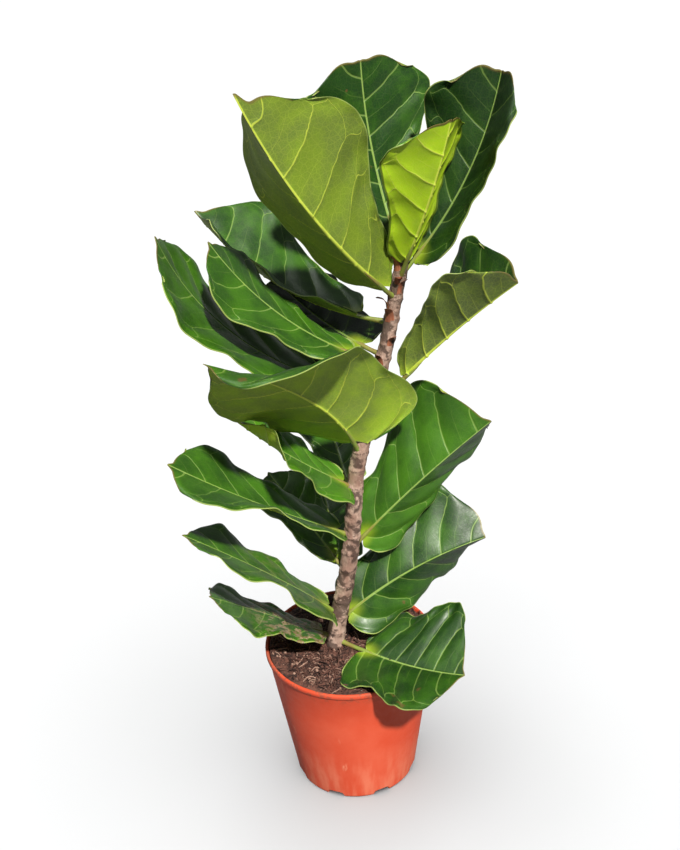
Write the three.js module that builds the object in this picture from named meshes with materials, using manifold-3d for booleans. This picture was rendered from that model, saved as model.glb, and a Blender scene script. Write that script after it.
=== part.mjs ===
// Potted fiddle leaf fig: one leaning stem with twenty broad leaves, in a plastic nursery pot of
// coarse potting mix. Millimetres, +Z up, the pot standing on z = 0 with its axis on the Z axis.
// The front of the plant is towards -Y.

import * as THREE from 'three';
import { mergeVertices } from 'three/addons/utils/BufferGeometryUtils.js';
import Module from 'manifold-3d';

const GAP = 0.3; // clearance between touching pieces

// Pot: tapered, with a rolled rim, a thick foot corner and drain notches round the foot.
const POT = {
  height: 215,
  rimRadius: 120,
  footRadius: 86,
  wall: 2.4,
  floor: 4,
  rimHeight: 7,
  rimStep: 2.5,
  segments: 48,
};
const NOTCH = { count: 8, width: 24, height: 8, depth: 7 };

// Soil: fills the pot to just under the rim, with a lumpy top and a plain hole for the stem.
const SOIL = { top: 203, relief: 3.2, holeDepth: 64, rings: 11, segments: 40 };

// Stem: stands in the soil, then leans to the right as it rises. Points are x, y, z.
const STEM_POINTS = [
  [-20, 0, 140],
  [-20, 0, 180],
  [-20, 0, 210],
  [-13, 0, 259],
  [-2, 0, 310],
  [9, 0, 375],
  [15, 0, 430],
  [22, 0, 492],
  [37, 2, 556],
  [67, 6, 669],
  [82, 8, 741],
  [92, 10, 790],
];
const STEM = {
  baseRadius: 13,
  tipRadius: 8.5,
  ringSpacing: 26,
  ringHeight: 1.1,
  sections: 46,
  sides: 12,
};

// Bud: the brown pointed sheath at the growing tip.
const BUD = { length: 34, radius: 6.2 };

// Blades: outline as half-width against length, from the base (0) to the apex (1).
const OUTLINE_AT = [0, 0.06, 0.15, 0.3, 0.45, 0.6, 0.7, 0.78, 0.88, 0.95, 1];
const OUTLINE_WIDTH = [0.4, 0.53, 0.6, 0.62, 0.73, 0.9, 0.98, 1, 0.9, 0.73, 0.55];
const BLADE = { thickness: 1.2, ribDepth: 1.6, lengthSteps: 12, widthSteps: 8, waves: 2.5 };
const PETIOLE = { radius: 3.1, tipRadius: 1.3, sides: 6 };

// One row per leaf, lowest first. `at` is the height on the stem; heading is measured round the
// pot from +X towards +Y, rise above level; sweep and bend are what they change by along the
// blade. roll turns the blade about its midrib; left and right fold each half at base, middle
// and tip. lobe, mid and full widen the base, the middle and the end of the outline by a share of
// its width, and notch dents the tip. Angles in degrees, lengths in mm.
const LEAVES = [
  { at: 218, heading: 324, rise: -2, bend: 16, sweep: 6, roll: 22, length: 148, width: 200,
    petiole: 50, left: [-10, 14, 10], right: [22, 35, 26], cup: -5, wave: 3, lobe: 0.4, full: 0 },
  { at: 222, heading: 190, rise: 32, bend: 0, sweep: 3, roll: 12, length: 165, width: 155,
    petiole: 30, left: [-5, -5, -5], right: [-5, -5, -5], cup: 5, wave: 4 },
  { at: 248, heading: 5, rise: 40, bend: -28, sweep: 5, roll: 50, length: 207, width: 170,
    petiole: 25, left: [0, 0, 0], right: [0, -60, -90], cup: 0, wave: 5, full: 0.45, notch: 0.05 },
  { at: 262, heading: 205, rise: 48, bend: -14, sweep: -20, roll: 0, length: 235, width: 115,
    petiole: 30, left: [-15, 10, 10], right: [0, 0, 0], cup: 5, wave: 6, lobe: 0.9 },
  { at: 325, heading: 100, rise: 12, bend: 10, sweep: 0, roll: 0, length: 140, width: 110,
    petiole: 30, left: [8, 8, 8], right: [8, 8, 8], cup: 5, wave: 4 },
  { at: 330, heading: 130, rise: 30, bend: 0, sweep: 0, roll: 0, length: 150, width: 100,
    petiole: 30, left: [10, 10, 10], right: [10, 10, 10], cup: 5, wave: 4 },
  { at: 368, heading: 5, rise: 46, bend: -8, sweep: 0, roll: 60, length: 225, width: 195,
    petiole: 28, left: [-30, -15, 10], right: [-30, -70, -85], cup: 0, wave: 4, lobe: 0, full: 0.3 },
  { at: 392, heading: 200, rise: 32, bend: 6, sweep: -10, roll: 0, length: 245, width: 125,
    petiole: 30, left: [0, 20, -20], right: [5, 15, 15], cup: 5, wave: 4, lobe: 0.5, full: 0.1 },
  { at: 440, heading: 102, rise: 20, bend: 10, sweep: 0, roll: 0, length: 140, width: 100,
    petiole: 40, left: [8, 8, 8], right: [8, 8, 8], cup: 5, wave: 4 },
  { at: 465, heading: 203, rise: 38, bend: 6, sweep: -22, roll: 0, length: 165, width: 150,
    petiole: 25, left: [-10, 4, 40], right: [5, 5, 5], cup: 5, wave: 5, lobe: 0.5 },
  { at: 515, heading: 240, rise: 58, bend: -34, sweep: -48, roll: 50, length: 265, width: 210,
    petiole: 34, left: [-12, 8, -60], right: [50, 12, 5], cup: 0, wave: 3, lobe: 0.8, full: -0.4 },
  { at: 652, heading: 139, rise: 10, bend: 24, sweep: 0, roll: -6, length: 150, width: 150,
    petiole: 38, left: [-20, 12, 12], right: [-5, -5, -5], cup: 5, wave: 2, lobe: 0.5 },
  { at: 600, heading: 180, rise: 22, bend: 50, sweep: 6, roll: -10, length: 275, width: 185,
    petiole: 70, left: [15, 8, 0], right: [-10, -10, -10], cup: 5, wave: 4, lobe: 0.4 },
  { at: 576, heading: 342, rise: 49, bend: -10, sweep: 4, roll: 0, length: 180, width: 180,
    petiole: 78, left: [10, 35, 45], right: [112, 60, 50], cup: 5, wave: 2, lobe: -0.6, full: 0.3, notch: 0.06 },
  { at: 640, heading: 190, rise: 30, bend: 28, sweep: -20, roll: -15, length: 215, width: 130,
    petiole: 50, left: [5, 0, 0], right: [-5, -12, -20], cup: 5, wave: 4 },
  { at: 696, heading: 145, rise: 0, bend: 46, sweep: 4, roll: -20, length: 250, width: 190,
    petiole: 60, left: [55, 60, 60], right: [0, 0, 0], cup: 5, wave: 4, lobe: -0.3 },
  { at: 728, heading: 232, rise: 42, bend: 24, sweep: -28, roll: 58, length: 310, width: 182,
    petiole: 40, left: [28, 20, 20], right: [48, 54, 80], cup: 5, wave: 2, lobe: -0.2, mid: 0.25, full: 0.1, notch: 0.03 },
  { at: 750, heading: 300, rise: 60, bend: 17, sweep: 34, roll: -20, length: 184, width: 150,
    petiole: 42, left: [40, 40, 20], right: [10, 10, 10], cup: 5, wave: 2, lobe: -0.4, full: 0.2, notch: 0.02 },
  { at: 755, heading: 2, rise: 50, bend: 28, sweep: 10, roll: 50, length: 226, width: 150,
    petiole: 38, left: [10, 10, 25], right: [0, 48, 48], cup: 5, wave: 2, lobe: -0.4, full: 0.3, notch: 0.06 },
  { at: 775, heading: 122, rise: 62, bend: 26, sweep: 10, roll: -5, length: 203, width: 185,
    petiole: 30, left: [0, 0, 0], right: [0, 0, 0], cup: 5, wave: 1.5, lobe: -0.4, full: 0.3, notch: 0.05 },
];

// Finishes: colour and roughness of each kind of piece.
const FINISH = {
  pot: { color: 0xc2552f, roughness: 0.6 },
  soil: { color: 0x452c23, roughness: 0.95 },
  stem: { color: 0x8d7464, roughness: 0.85 },
  bud: { color: 0x7b3b28, roughness: 0.7 },
  leaf: { color: 0x3c7a2a, roughness: 0.4 },
};

const wasm = await Module();
wasm.setup();

const rad = THREE.MathUtils.degToRad;

/** Solid of a closed geometry. */
function toSolid(geometry) {
  const bare = new THREE.BufferGeometry();
  bare.setAttribute('position', geometry.getAttribute('position'));
  bare.setIndex(geometry.getIndex());
  const merged = mergeVertices(bare, 1e-4);
  const kept = [];
  const index = merged.getIndex().array;
  for (let i = 0; i < index.length; i += 3) {
    const [a, b, c] = [index[i], index[i + 1], index[i + 2]];
    if (a !== b && b !== c && c !== a) {
      kept.push(a, b, c);
    }
  }
  const mesh = new wasm.Mesh({
    numProp: 3,
    vertProperties: new Float32Array(merged.getAttribute('position').array),
    triVerts: new Uint32Array(kept),
  });
  return new wasm.Manifold(mesh);
}

/** Named mesh of a solid, in one finish. */
function toMesh(name, solid, finish) {
  const data = solid.getMesh();
  const geometry = new THREE.BufferGeometry();
  geometry.setAttribute('position', new THREE.BufferAttribute(data.vertProperties, 3));
  geometry.setIndex(new THREE.BufferAttribute(data.triVerts, 1));
  geometry.computeVertexNormals();
  const material = new THREE.MeshStandardMaterial({ ...finish, metalness: 0 });
  const mesh = new THREE.Mesh(geometry, material);
  mesh.name = name;
  return mesh;
}

/** Closed solid turned from a radius and height profile about the Z axis. */
function turned(profile, segments) {
  const points = profile.map(([r, z]) => new THREE.Vector2(r, z));
  const geometry = new THREE.LatheGeometry(points, segments);
  geometry.rotateX(Math.PI / 2);
  return geometry;
}

/** Radius of the pot's outside at height z. */
function potRadius(z) {
  return THREE.MathUtils.lerp(POT.footRadius, POT.rimRadius - POT.rimStep, z / POT.height);
}

/** Pot wall, floor, rim and foot, with the notches cut. */
function buildPot() {
  const { height, rimRadius, wall, floor, rimHeight, rimStep } = POT;
  const rimFoot = height - rimHeight;
  const shell = toSolid(
    turned(
      [
        [0, 0],
        [POT.footRadius - 3, 0],
        [potRadius(2), 2],
        [potRadius(rimFoot - 2), rimFoot - 2],
        [potRadius(rimFoot) + rimStep, rimFoot],
        [rimRadius - 0.8, height - 2],
        [rimRadius - 2, height],
        [rimRadius - 4, height],
        [rimRadius - 5, height - 1.6],
        [potRadius(rimFoot) - wall, rimFoot],
        [potRadius(18) - wall, 18],
        [potRadius(floor) - 15, floor],
        [0, floor],
      ],
      POT.segments,
    ),
  );
  const cutter = new THREE.BoxGeometry(2 * NOTCH.depth, NOTCH.width, 2 * NOTCH.height);
  cutter.translate(POT.footRadius, 0, 0);
  let pot = shell;
  for (let i = 0; i < NOTCH.count; i += 1) {
    const notch = cutter.clone();
    notch.rotateZ(((i + 0.5) / NOTCH.count) * 2 * Math.PI);
    pot = pot.subtract(toSolid(notch));
  }
  return pot;
}

/** Height of the soil's lumps at x, y. */
function lump(x, y) {
  const broad = Math.sin(x * 0.09 + 1.3) * Math.cos(y * 0.08 + 0.4);
  const fine = Math.sin(x * 0.31 + y * 0.17) * Math.cos(y * 0.27 - x * 0.12 + 2);
  return SOIL.relief * (0.6 * broad + 0.5 * fine);
}

/** Body of potting mix, clear of the pot all round, with the stem's hole. */
function buildSoil(stemSpace) {
  const inside = (z) => potRadius(z) - POT.wall - GAP;
  const bottom = POT.floor;
  const profile = [
    [0, bottom],
    [potRadius(bottom) - 15 - GAP, bottom],
    [inside(18), 18 + GAP],
    [inside(SOIL.top - 9), SOIL.top - 9],
  ];
  const edge = inside(SOIL.top) - 1;
  for (let i = 0; i <= SOIL.rings; i += 1) {
    profile.push([edge * (1 - i / SOIL.rings), SOIL.top]);
  }
  const geometry = turned(profile, SOIL.segments);
  const place = geometry.getAttribute('position');
  for (let i = 0; i < place.count; i += 1) {
    const x = place.getX(i);
    const y = place.getY(i);
    if (place.getZ(i) > SOIL.top - 1) {
      const fade = THREE.MathUtils.smoothstep(edge - Math.hypot(x, y), 0, 14);
      place.setZ(i, SOIL.top + (lump(x, y) + 1.5) * fade);
    }
  }
  const [x, y] = STEM_POINTS[0];
  const hole = new THREE.CylinderGeometry(
    STEM.baseRadius + GAP,
    STEM.baseRadius + GAP,
    SOIL.holeDepth + 40,
    24,
  );
  hole.rotateX(Math.PI / 2);
  hole.translate(x, y, STEM_POINTS[0][2] - GAP + (SOIL.holeDepth + 40) / 2);
  return toSolid(geometry).subtract(toSolid(hole)).subtract(stemSpace);
}

const stemCurve = new THREE.CatmullRomCurve3(STEM_POINTS.map((p) => new THREE.Vector3(...p)));

/** Centre of the stem at height z. */
function stemCentre(z) {
  let i = 1;
  while (i < STEM_POINTS.length - 1 && STEM_POINTS[i][2] < z) {
    i += 1;
  }
  const low = new THREE.Vector3(...STEM_POINTS[i - 1]);
  const high = new THREE.Vector3(...STEM_POINTS[i]);
  return low.lerp(high, (z - low.z) / (high.z - low.z));
}

/** Radius of the stem at height z, with its node rings above the soil. */
function stemRadius(z) {
  const plainTop = SOIL.top + 12;
  if (z < plainTop) {
    return STEM.baseRadius;
  }
  const share = (z - plainTop) / (STEM_POINTS.at(-1)[2] - plainTop);
  const taper = THREE.MathUtils.lerp(STEM.baseRadius - STEM.ringHeight, STEM.tipRadius, share);
  const ring = Math.max(0, Math.cos((z / STEM.ringSpacing) * 2 * Math.PI)) ** 3;
  return taper + STEM.ringHeight * ring;
}

/** Closed tube through sections of centre, radius and the two axes across it. */
function tube(sections, sides) {
  const positions = [];
  for (const { centre, radius, across, over } of sections) {
    for (let i = 0; i < sides; i += 1) {
      const turn = (i / sides) * 2 * Math.PI;
      const point = centre
        .clone()
        .addScaledVector(across, radius * Math.cos(turn))
        .addScaledVector(over, radius * Math.sin(turn));
      positions.push(point.x, point.y, point.z);
    }
  }
  const index = [];
  for (let s = 0; s < sections.length - 1; s += 1) {
    for (let i = 0; i < sides; i += 1) {
      const a = s * sides + i;
      const b = s * sides + ((i + 1) % sides);
      index.push(a, b, b + sides, a, b + sides, a + sides);
    }
  }
  const last = (sections.length - 1) * sides;
  for (let i = 1; i < sides - 1; i += 1) {
    index.push(0, i + 1, i);
    index.push(last, last + i, last + i + 1);
  }
  const geometry = new THREE.BufferGeometry();
  geometry.setAttribute('position', new THREE.Float32BufferAttribute(positions, 3));
  geometry.setIndex(index);
  return toSolid(geometry);
}

/** Stem, grown outwards by an extra radius. */
function buildStem(extra) {
  const sections = [];
  const across = new THREE.Vector3(0, 1, 0);
  for (let i = 0; i <= STEM.sections; i += 1) {
    const centre = stemCurve.getPointAt(i / STEM.sections);
    const ahead = stemCurve.getTangentAt(i / STEM.sections);
    const over = new THREE.Vector3().crossVectors(ahead, across).normalize();
    const radius = stemRadius(centre.z) + extra;
    sections.push({ centre, radius, across, over });
  }
  const tip = sections.at(-1);
  const ahead = stemCurve.getTangentAt(1);
  if (extra > 0) {
    sections.push({ ...tip, centre: tip.centre.clone().addScaledVector(ahead, extra) });
  }
  return tube(sections, STEM.sides);
}

/** Pointed sheath standing on the end of the stem. */
function buildBud() {
  const ahead = stemCurve.getTangentAt(1);
  const across = new THREE.Vector3(0, 1, 0);
  const over = new THREE.Vector3().crossVectors(ahead, across).normalize();
  const foot = stemCurve.getPointAt(1).addScaledVector(ahead, GAP);
  const shape = [
    [0, 0.8],
    [0.2, 1],
    [0.45, 0.85],
    [0.75, 0.45],
    [1, 0.12],
  ];
  const sections = shape.map(([along, width]) => ({
    centre: foot.clone().addScaledVector(ahead, along * BUD.length),
    radius: width * BUD.radius,
    across,
    over,
  }));
  return tube(sections, 10);
}

const outline = new THREE.CubicInterpolant(OUTLINE_AT, OUTLINE_WIDTH, 1, new Float64Array(1));

/** Half-width of a blade at t. */
function halfWidth(leaf, t) {
  const share = outline.evaluate(t)[0];
  const lobe = 1 + (leaf.lobe ?? 0) * (1 - t) ** 2;
  const middle = 1 + (leaf.mid ?? 0) * (4 * t * (1 - t)) ** 2;
  return 0.5 * leaf.width * share * lobe * middle * (1 + (leaf.full ?? 0) * t ** 6);
}

/** Value at t of three values given at base, middle and tip. */
function blend([base, middle, tip], t) {
  return base * (1 - t) * (1 - 2 * t) + middle * 4 * t * (1 - t) + tip * t * (2 * t - 1);
}

/** Direction of a leaf's midrib at distance a along it. */
function forward(leaf, a) {
  const turn = rad(leaf.heading + leaf.sweep * Math.max(a, 0));
  const lift = rad(leaf.rise + leaf.bend * Math.max(a, 0));
  const level = Math.cos(lift);
  return new THREE.Vector3(level * Math.cos(turn), level * Math.sin(turn), Math.sin(lift));
}

/** Points down the midrib, at even steps from the base of the blade to a little past its tip. */
function midrib(leaf) {
  const step = 0.02;
  const points = [stemCentre(leaf.at).addScaledVector(forward(leaf, 0), leaf.petiole)];
  for (let i = 0; i < 60; i += 1) {
    const ahead = forward(leaf, (i + 0.5) * step);
    points.push(points[i].clone().addScaledVector(ahead, step * leaf.length));
  }
  return { step, points };
}

/** Midrib point with the blade's left-hand and upward directions at a. */
function station(leaf, rib, a) {
  const place = Math.max(a, 0) / rib.step;
  const i = Math.min(Math.floor(place), rib.points.length - 2);
  const centre = rib.points[i].clone().lerp(rib.points[i + 1], place - i);
  const ahead = forward(leaf, a);
  centre.addScaledVector(ahead, Math.min(a, 0) * leaf.length);
  const turn = rad(leaf.heading + leaf.sweep * Math.max(a, 0));
  const level = new THREE.Vector3(-Math.sin(turn), Math.cos(turn), 0);
  const left = level.applyAxisAngle(ahead, rad(leaf.roll));
  const up = new THREE.Vector3().crossVectors(ahead, left);
  return { centre, ahead, left, up };
}

/** Point of the blade's middle surface; t runs base to tip, v right edge (-1) to left edge (1). */
function bladePoint(leaf, rib, t, v) {
  const out = Math.abs(v);
  const lobes = -0.06 * (1 - t) ** 4 * Math.sin(0.75 * Math.PI * out);
  const apex = -0.07 * t ** 10 * out ** 2 + 0.03 * t ** 12 * Math.exp(-((v / 0.12) ** 2));
  const dip = (leaf.notch ?? 0) * t ** 8 * Math.sin(Math.PI * Math.min(1.1 * out, 1));
  const { centre, left, up } = station(leaf, rib, t + lobes + apex + dip);
  const reach = out * halfWidth(leaf, t);
  const fold = rad(blend(v > 0 ? leaf.left : leaf.right, t));
  const curve = rad(leaf.cup + 0.01) / (0.5 * leaf.width);
  const edge = fold + curve * reach;
  const phase = v > 0 ? 0 : 2.2;
  const wave = leaf.wave * out ** 2 * Math.sin(2 * Math.PI * BLADE.waves * t + phase);
  const sideways = (Math.sin(edge) - Math.sin(fold)) / curve - wave * Math.sin(edge);
  const upwards = (Math.cos(fold) - Math.cos(edge)) / curve + wave * Math.cos(edge);
  return centre.addScaledVector(left, Math.sign(v) * sideways).addScaledVector(up, upwards);
}

/** Upward direction square to the blade at t, v. */
function bladeNormal(leaf, rib, t, v) {
  const [t0, t1] = [Math.max(t - 0.01, 0), Math.min(t + 0.01, 1)];
  const [v0, v1] = [Math.max(v - 0.05, -1), Math.min(v + 0.05, 1)];
  const along = bladePoint(leaf, rib, t1, v).sub(bladePoint(leaf, rib, t0, v));
  const across = bladePoint(leaf, rib, t, v1).sub(bladePoint(leaf, rib, t, v0));
  return along.cross(across).normalize();
}

/** Thin solid blade, thickened below along its midrib. */
function buildBlade(leaf, rib) {
  const { lengthSteps, widthSteps, thickness, ribDepth } = BLADE;
  const upper = [];
  const lower = [];
  for (let i = 0; i <= lengthSteps; i += 1) {
    for (let j = 0; j <= widthSteps; j += 1) {
      const t = i / lengthSteps;
      const v = (2 * j) / widthSteps - 1;
      const point = bladePoint(leaf, rib, t, v);
      const normal = bladeNormal(leaf, rib, t, v);
      const depth = v === 0 ? ribDepth * (1 - 0.7 * t) : 0;
      upper.push(...point.clone().addScaledVector(normal, thickness / 2));
      lower.push(...point.clone().addScaledVector(normal, -thickness / 2 - depth));
    }
  }
  const row = widthSteps + 1;
  const under = row * (lengthSteps + 1);
  const index = [];
  for (let i = 0; i < lengthSteps; i += 1) {
    for (let j = 0; j < widthSteps; j += 1) {
      const a = i * row + j;
      const [b, c, d] = [a + 1, a + row, a + row + 1];
      index.push(a, d, b, a, c, d);
      index.push(under + a, under + b, under + d, under + a, under + d, under + c);
    }
  }
  const edge = [];
  for (let j = 0; j < widthSteps; j += 1) {
    edge.push(j);
  }
  for (let i = 0; i < lengthSteps; i += 1) {
    edge.push(i * row + widthSteps);
  }
  for (let j = widthSteps; j > 0; j -= 1) {
    edge.push(lengthSteps * row + j);
  }
  for (let i = lengthSteps; i > 0; i -= 1) {
    edge.push(i * row);
  }
  edge.forEach((a, k) => {
    const b = edge[(k + 1) % edge.length];
    index.push(a, b, under + b, a, under + b, under + a);
  });
  const geometry = new THREE.BufferGeometry();
  geometry.setAttribute('position', new THREE.Float32BufferAttribute([...upper, ...lower], 3));
  geometry.setIndex(index);
  return toSolid(geometry);
}

/** Leaf stalk from inside the stem to under the foot of the blade. */
function buildPetiole(leaf, rib) {
  const { radius, tipRadius } = PETIOLE;
  const shape = [
    [-leaf.petiole / leaf.length, 0, radius],
    [-0.03, 1.2, radius],
    [0.05, 2.2, 0.8 * radius],
    [0.15, 1.6, tipRadius],
  ];
  const sections = shape.map(([a, drop, size]) => {
    const { centre, left, up } = station(leaf, rib, a);
    centre.addScaledVector(up, -drop);
    return { centre, radius: size, across: left, over: up };
  });
  return tube(sections, PETIOLE.sides);
}

/** Largest single body of a solid. */
function largest(solid) {
  return solid.decompose().reduce((a, b) => (a.volume() > b.volume() ? a : b));
}

/** One leaf, trimmed to clear the stem. */
function buildLeaf(leaf, stemSpace) {
  const rib = midrib(leaf);
  return largest(buildBlade(leaf, rib).add(buildPetiole(leaf, rib)).subtract(stemSpace));
}

const plant = new THREE.Group();
plant.name = 'potted_fiddle_leaf_fig';
const stemSpace = buildStem(GAP);
plant.add(toMesh('pot', buildPot(), FINISH.pot));
plant.add(toMesh('soil', buildSoil(stemSpace), FINISH.soil));
plant.add(toMesh('stem', buildStem(0), FINISH.stem));
plant.add(toMesh('bud', buildBud(), FINISH.bud));
LEAVES.forEach((leaf, i) => {
  const name = `leaf_${String(i + 1).padStart(2, '0')}`;
  plant.add(toMesh(name, buildLeaf(leaf, stemSpace), FINISH.leaf));
});

export default plant;
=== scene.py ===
"""Potted fiddle leaf fig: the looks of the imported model, its studio and its camera.

Blender objects are in metres with +Z up. Sizes of the plant and its pot are named in millimetres
and degrees, as they would be measured on the bench, and are scaled where a mesh is made.
"""

import logging
import math
from dataclasses import dataclass, field
from enum import Enum

import bpy
import numpy as np
from mathutils import Matrix, Vector


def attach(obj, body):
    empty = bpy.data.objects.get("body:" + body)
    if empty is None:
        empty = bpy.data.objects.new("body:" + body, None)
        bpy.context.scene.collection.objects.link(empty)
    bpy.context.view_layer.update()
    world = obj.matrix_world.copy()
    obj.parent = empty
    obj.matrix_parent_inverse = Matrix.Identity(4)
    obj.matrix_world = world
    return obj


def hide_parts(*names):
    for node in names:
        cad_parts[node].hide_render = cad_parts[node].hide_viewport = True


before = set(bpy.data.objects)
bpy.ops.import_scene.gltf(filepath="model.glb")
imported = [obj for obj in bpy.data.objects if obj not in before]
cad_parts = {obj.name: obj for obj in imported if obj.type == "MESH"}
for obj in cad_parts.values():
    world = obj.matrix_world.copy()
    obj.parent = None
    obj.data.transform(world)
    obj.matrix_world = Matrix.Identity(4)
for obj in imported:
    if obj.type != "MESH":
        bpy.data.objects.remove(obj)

log = logging.getLogger("fiddle_leaf_fig")

MM = 0.001
FULL_TURN = 6.28
Array = np.ndarray
Colour = tuple[float, float, float, float]


def srgb(red: int, green: int, blue: int) -> Colour:
    """Scene-linear colour of an 8-bit display colour.

    Args:
        red: red, 0 to 255.
        green: green, 0 to 255.
        blue: blue, 0 to 255.

    Returns:
        The linear colour with full alpha.
    """
    parts = []
    for value in (red, green, blue):
        share = value / 255.0
        parts.append(share / 12.92 if share <= 0.04045 else ((share + 0.055) / 1.055) ** 2.4)
    return (parts[0], parts[1], parts[2], 1.0)


def ease(value: Array, low: float, high: float) -> Array:
    """Smooth step of an array from 0 at low to 1 at high.

    Args:
        value: numbers to step.
        low: where the step starts.
        high: where it ends.

    Returns:
        The stepped numbers, 0 to 1.
    """
    share = np.clip((value - low) / (high - low), 0.0, 1.0)
    return share * share * (3.0 - 2.0 * share)


def smooth_curve(at: Array, values: Array, where: Array) -> Array:
    """Values on a smooth curve through given ones, level with their own trend at each.

    Args:
        at: rising places of the given values.
        values: one value, or one row of values, at each place.
        where: places between the first and the last one.

    Returns:
        The values there.
    """
    slope = np.gradient(values, at, axis=0)
    spot = np.clip(np.searchsorted(at, where, side="right") - 1, 0, len(at) - 2)
    span = at[spot + 1] - at[spot]
    share = (where - at[spot]) / span
    if values.ndim > 1:
        span, share = span[..., None], share[..., None]
    return ((2 * share ** 3 - 3 * share ** 2 + 1) * values[spot]
            + (share ** 3 - 2 * share ** 2 + share) * span * slope[spot]
            + (3 * share ** 2 - 2 * share ** 3) * values[spot + 1]
            + (share ** 3 - share ** 2) * span * slope[spot + 1])


# ---------------------------------------------------------------------------------------------
# Node trees
# ---------------------------------------------------------------------------------------------


class Graph:
    """Short way to lay and join nodes in one node tree."""

    def __init__(self, tree: bpy.types.NodeTree) -> None:
        """Keep the tree that nodes are laid in."""
        self.tree = tree

    def feed(self, socket: bpy.types.NodeSocket, value: object) -> None:
        """Join a socket to another one, or set its value.

        Args:
            socket: the input to feed.
            value: an output socket, or a plain value.
        """
        if isinstance(value, bpy.types.NodeSocket):
            self.tree.links.new(value, socket)
        else:
            socket.default_value = value

    def add(self, kind: str, feeds: dict[str | int, object] | None = None,
            **settings: object) -> bpy.types.Node:
        """Lay one node.

        Args:
            kind: the node's type.
            feeds: its inputs by name or number, each a socket or a value.
            **settings: its properties.

        Returns:
            The node.
        """
        node = self.tree.nodes.new(kind)
        for name, value in settings.items():
            setattr(node, name, value)
        for key, value in (feeds or {}).items():
            self.feed(node.inputs[key], value)
        return node

    def math(self, operation: str, *values: object, clamp: bool = False) -> bpy.types.NodeSocket:
        """Sum of a Math node.

        Args:
            operation: the node's operation.
            *values: its inputs.
            clamp: keep the result from 0 to 1.

        Returns:
            The result's socket.
        """
        node = self.add("ShaderNodeMath", operation=operation, use_clamp=clamp)
        for socket, value in zip(node.inputs, values):
            self.feed(socket, value)
        return node.outputs[0]

    def step(self, value: object, low: object, high: object, start: float = 0.0,
             end: float = 1.0) -> bpy.types.NodeSocket:
        """Smooth step of a value.

        Args:
            value: the value to step.
            low: where the step starts.
            high: where it ends.
            start: result below the step.
            end: result above it.

        Returns:
            The result's socket.
        """
        node = self.add(
            "ShaderNodeMapRange",
            {"Value": value, "From Min": low, "From Max": high, "To Min": start, "To Max": end},
            interpolation_type="SMOOTHSTEP",
        )
        return node.outputs["Result"]

    def blend(self, share: object, first: object, second: object) -> bpy.types.NodeSocket:
        """Blend of two colours.

        Args:
            share: how much of the second colour shows.
            first: the colour at 0.
            second: the colour at 1.

        Returns:
            The colour's socket.
        """
        node = self.add("ShaderNodeMix", {0: share, 6: first, 7: second}, data_type="RGBA",
                        clamp_factor=True)
        return node.outputs[2]

    def lerp(self, share: object, first: object, second: object) -> bpy.types.NodeSocket:
        """Number between two numbers.

        Args:
            share: how far towards the second number.
            first: the number at 0.
            second: the number at 1.

        Returns:
            The number's socket.
        """
        return self.add("ShaderNodeMix", {0: share, 2: first, 3: second}).outputs[0]


def new_group(name: str, inputs: dict[str, str], outputs: dict[str, str]) -> tuple[
        bpy.types.NodeTree, Graph, bpy.types.Node, bpy.types.Node]:
    """Empty shader node group with named sockets.

    Args:
        name: the group's name.
        inputs: socket type of each input.
        outputs: socket type of each output.

    Returns:
        The tree, its graph, its input node and its output node.
    """
    tree = bpy.data.node_groups.new(name, "ShaderNodeTree")
    for label, kind in inputs.items():
        tree.interface.new_socket(label, in_out="INPUT", socket_type=kind)
    for label, kind in outputs.items():
        tree.interface.new_socket(label, in_out="OUTPUT", socket_type=kind)
    graph = Graph(tree)
    return tree, graph, graph.add("NodeGroupInput"), graph.add("NodeGroupOutput")


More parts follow.
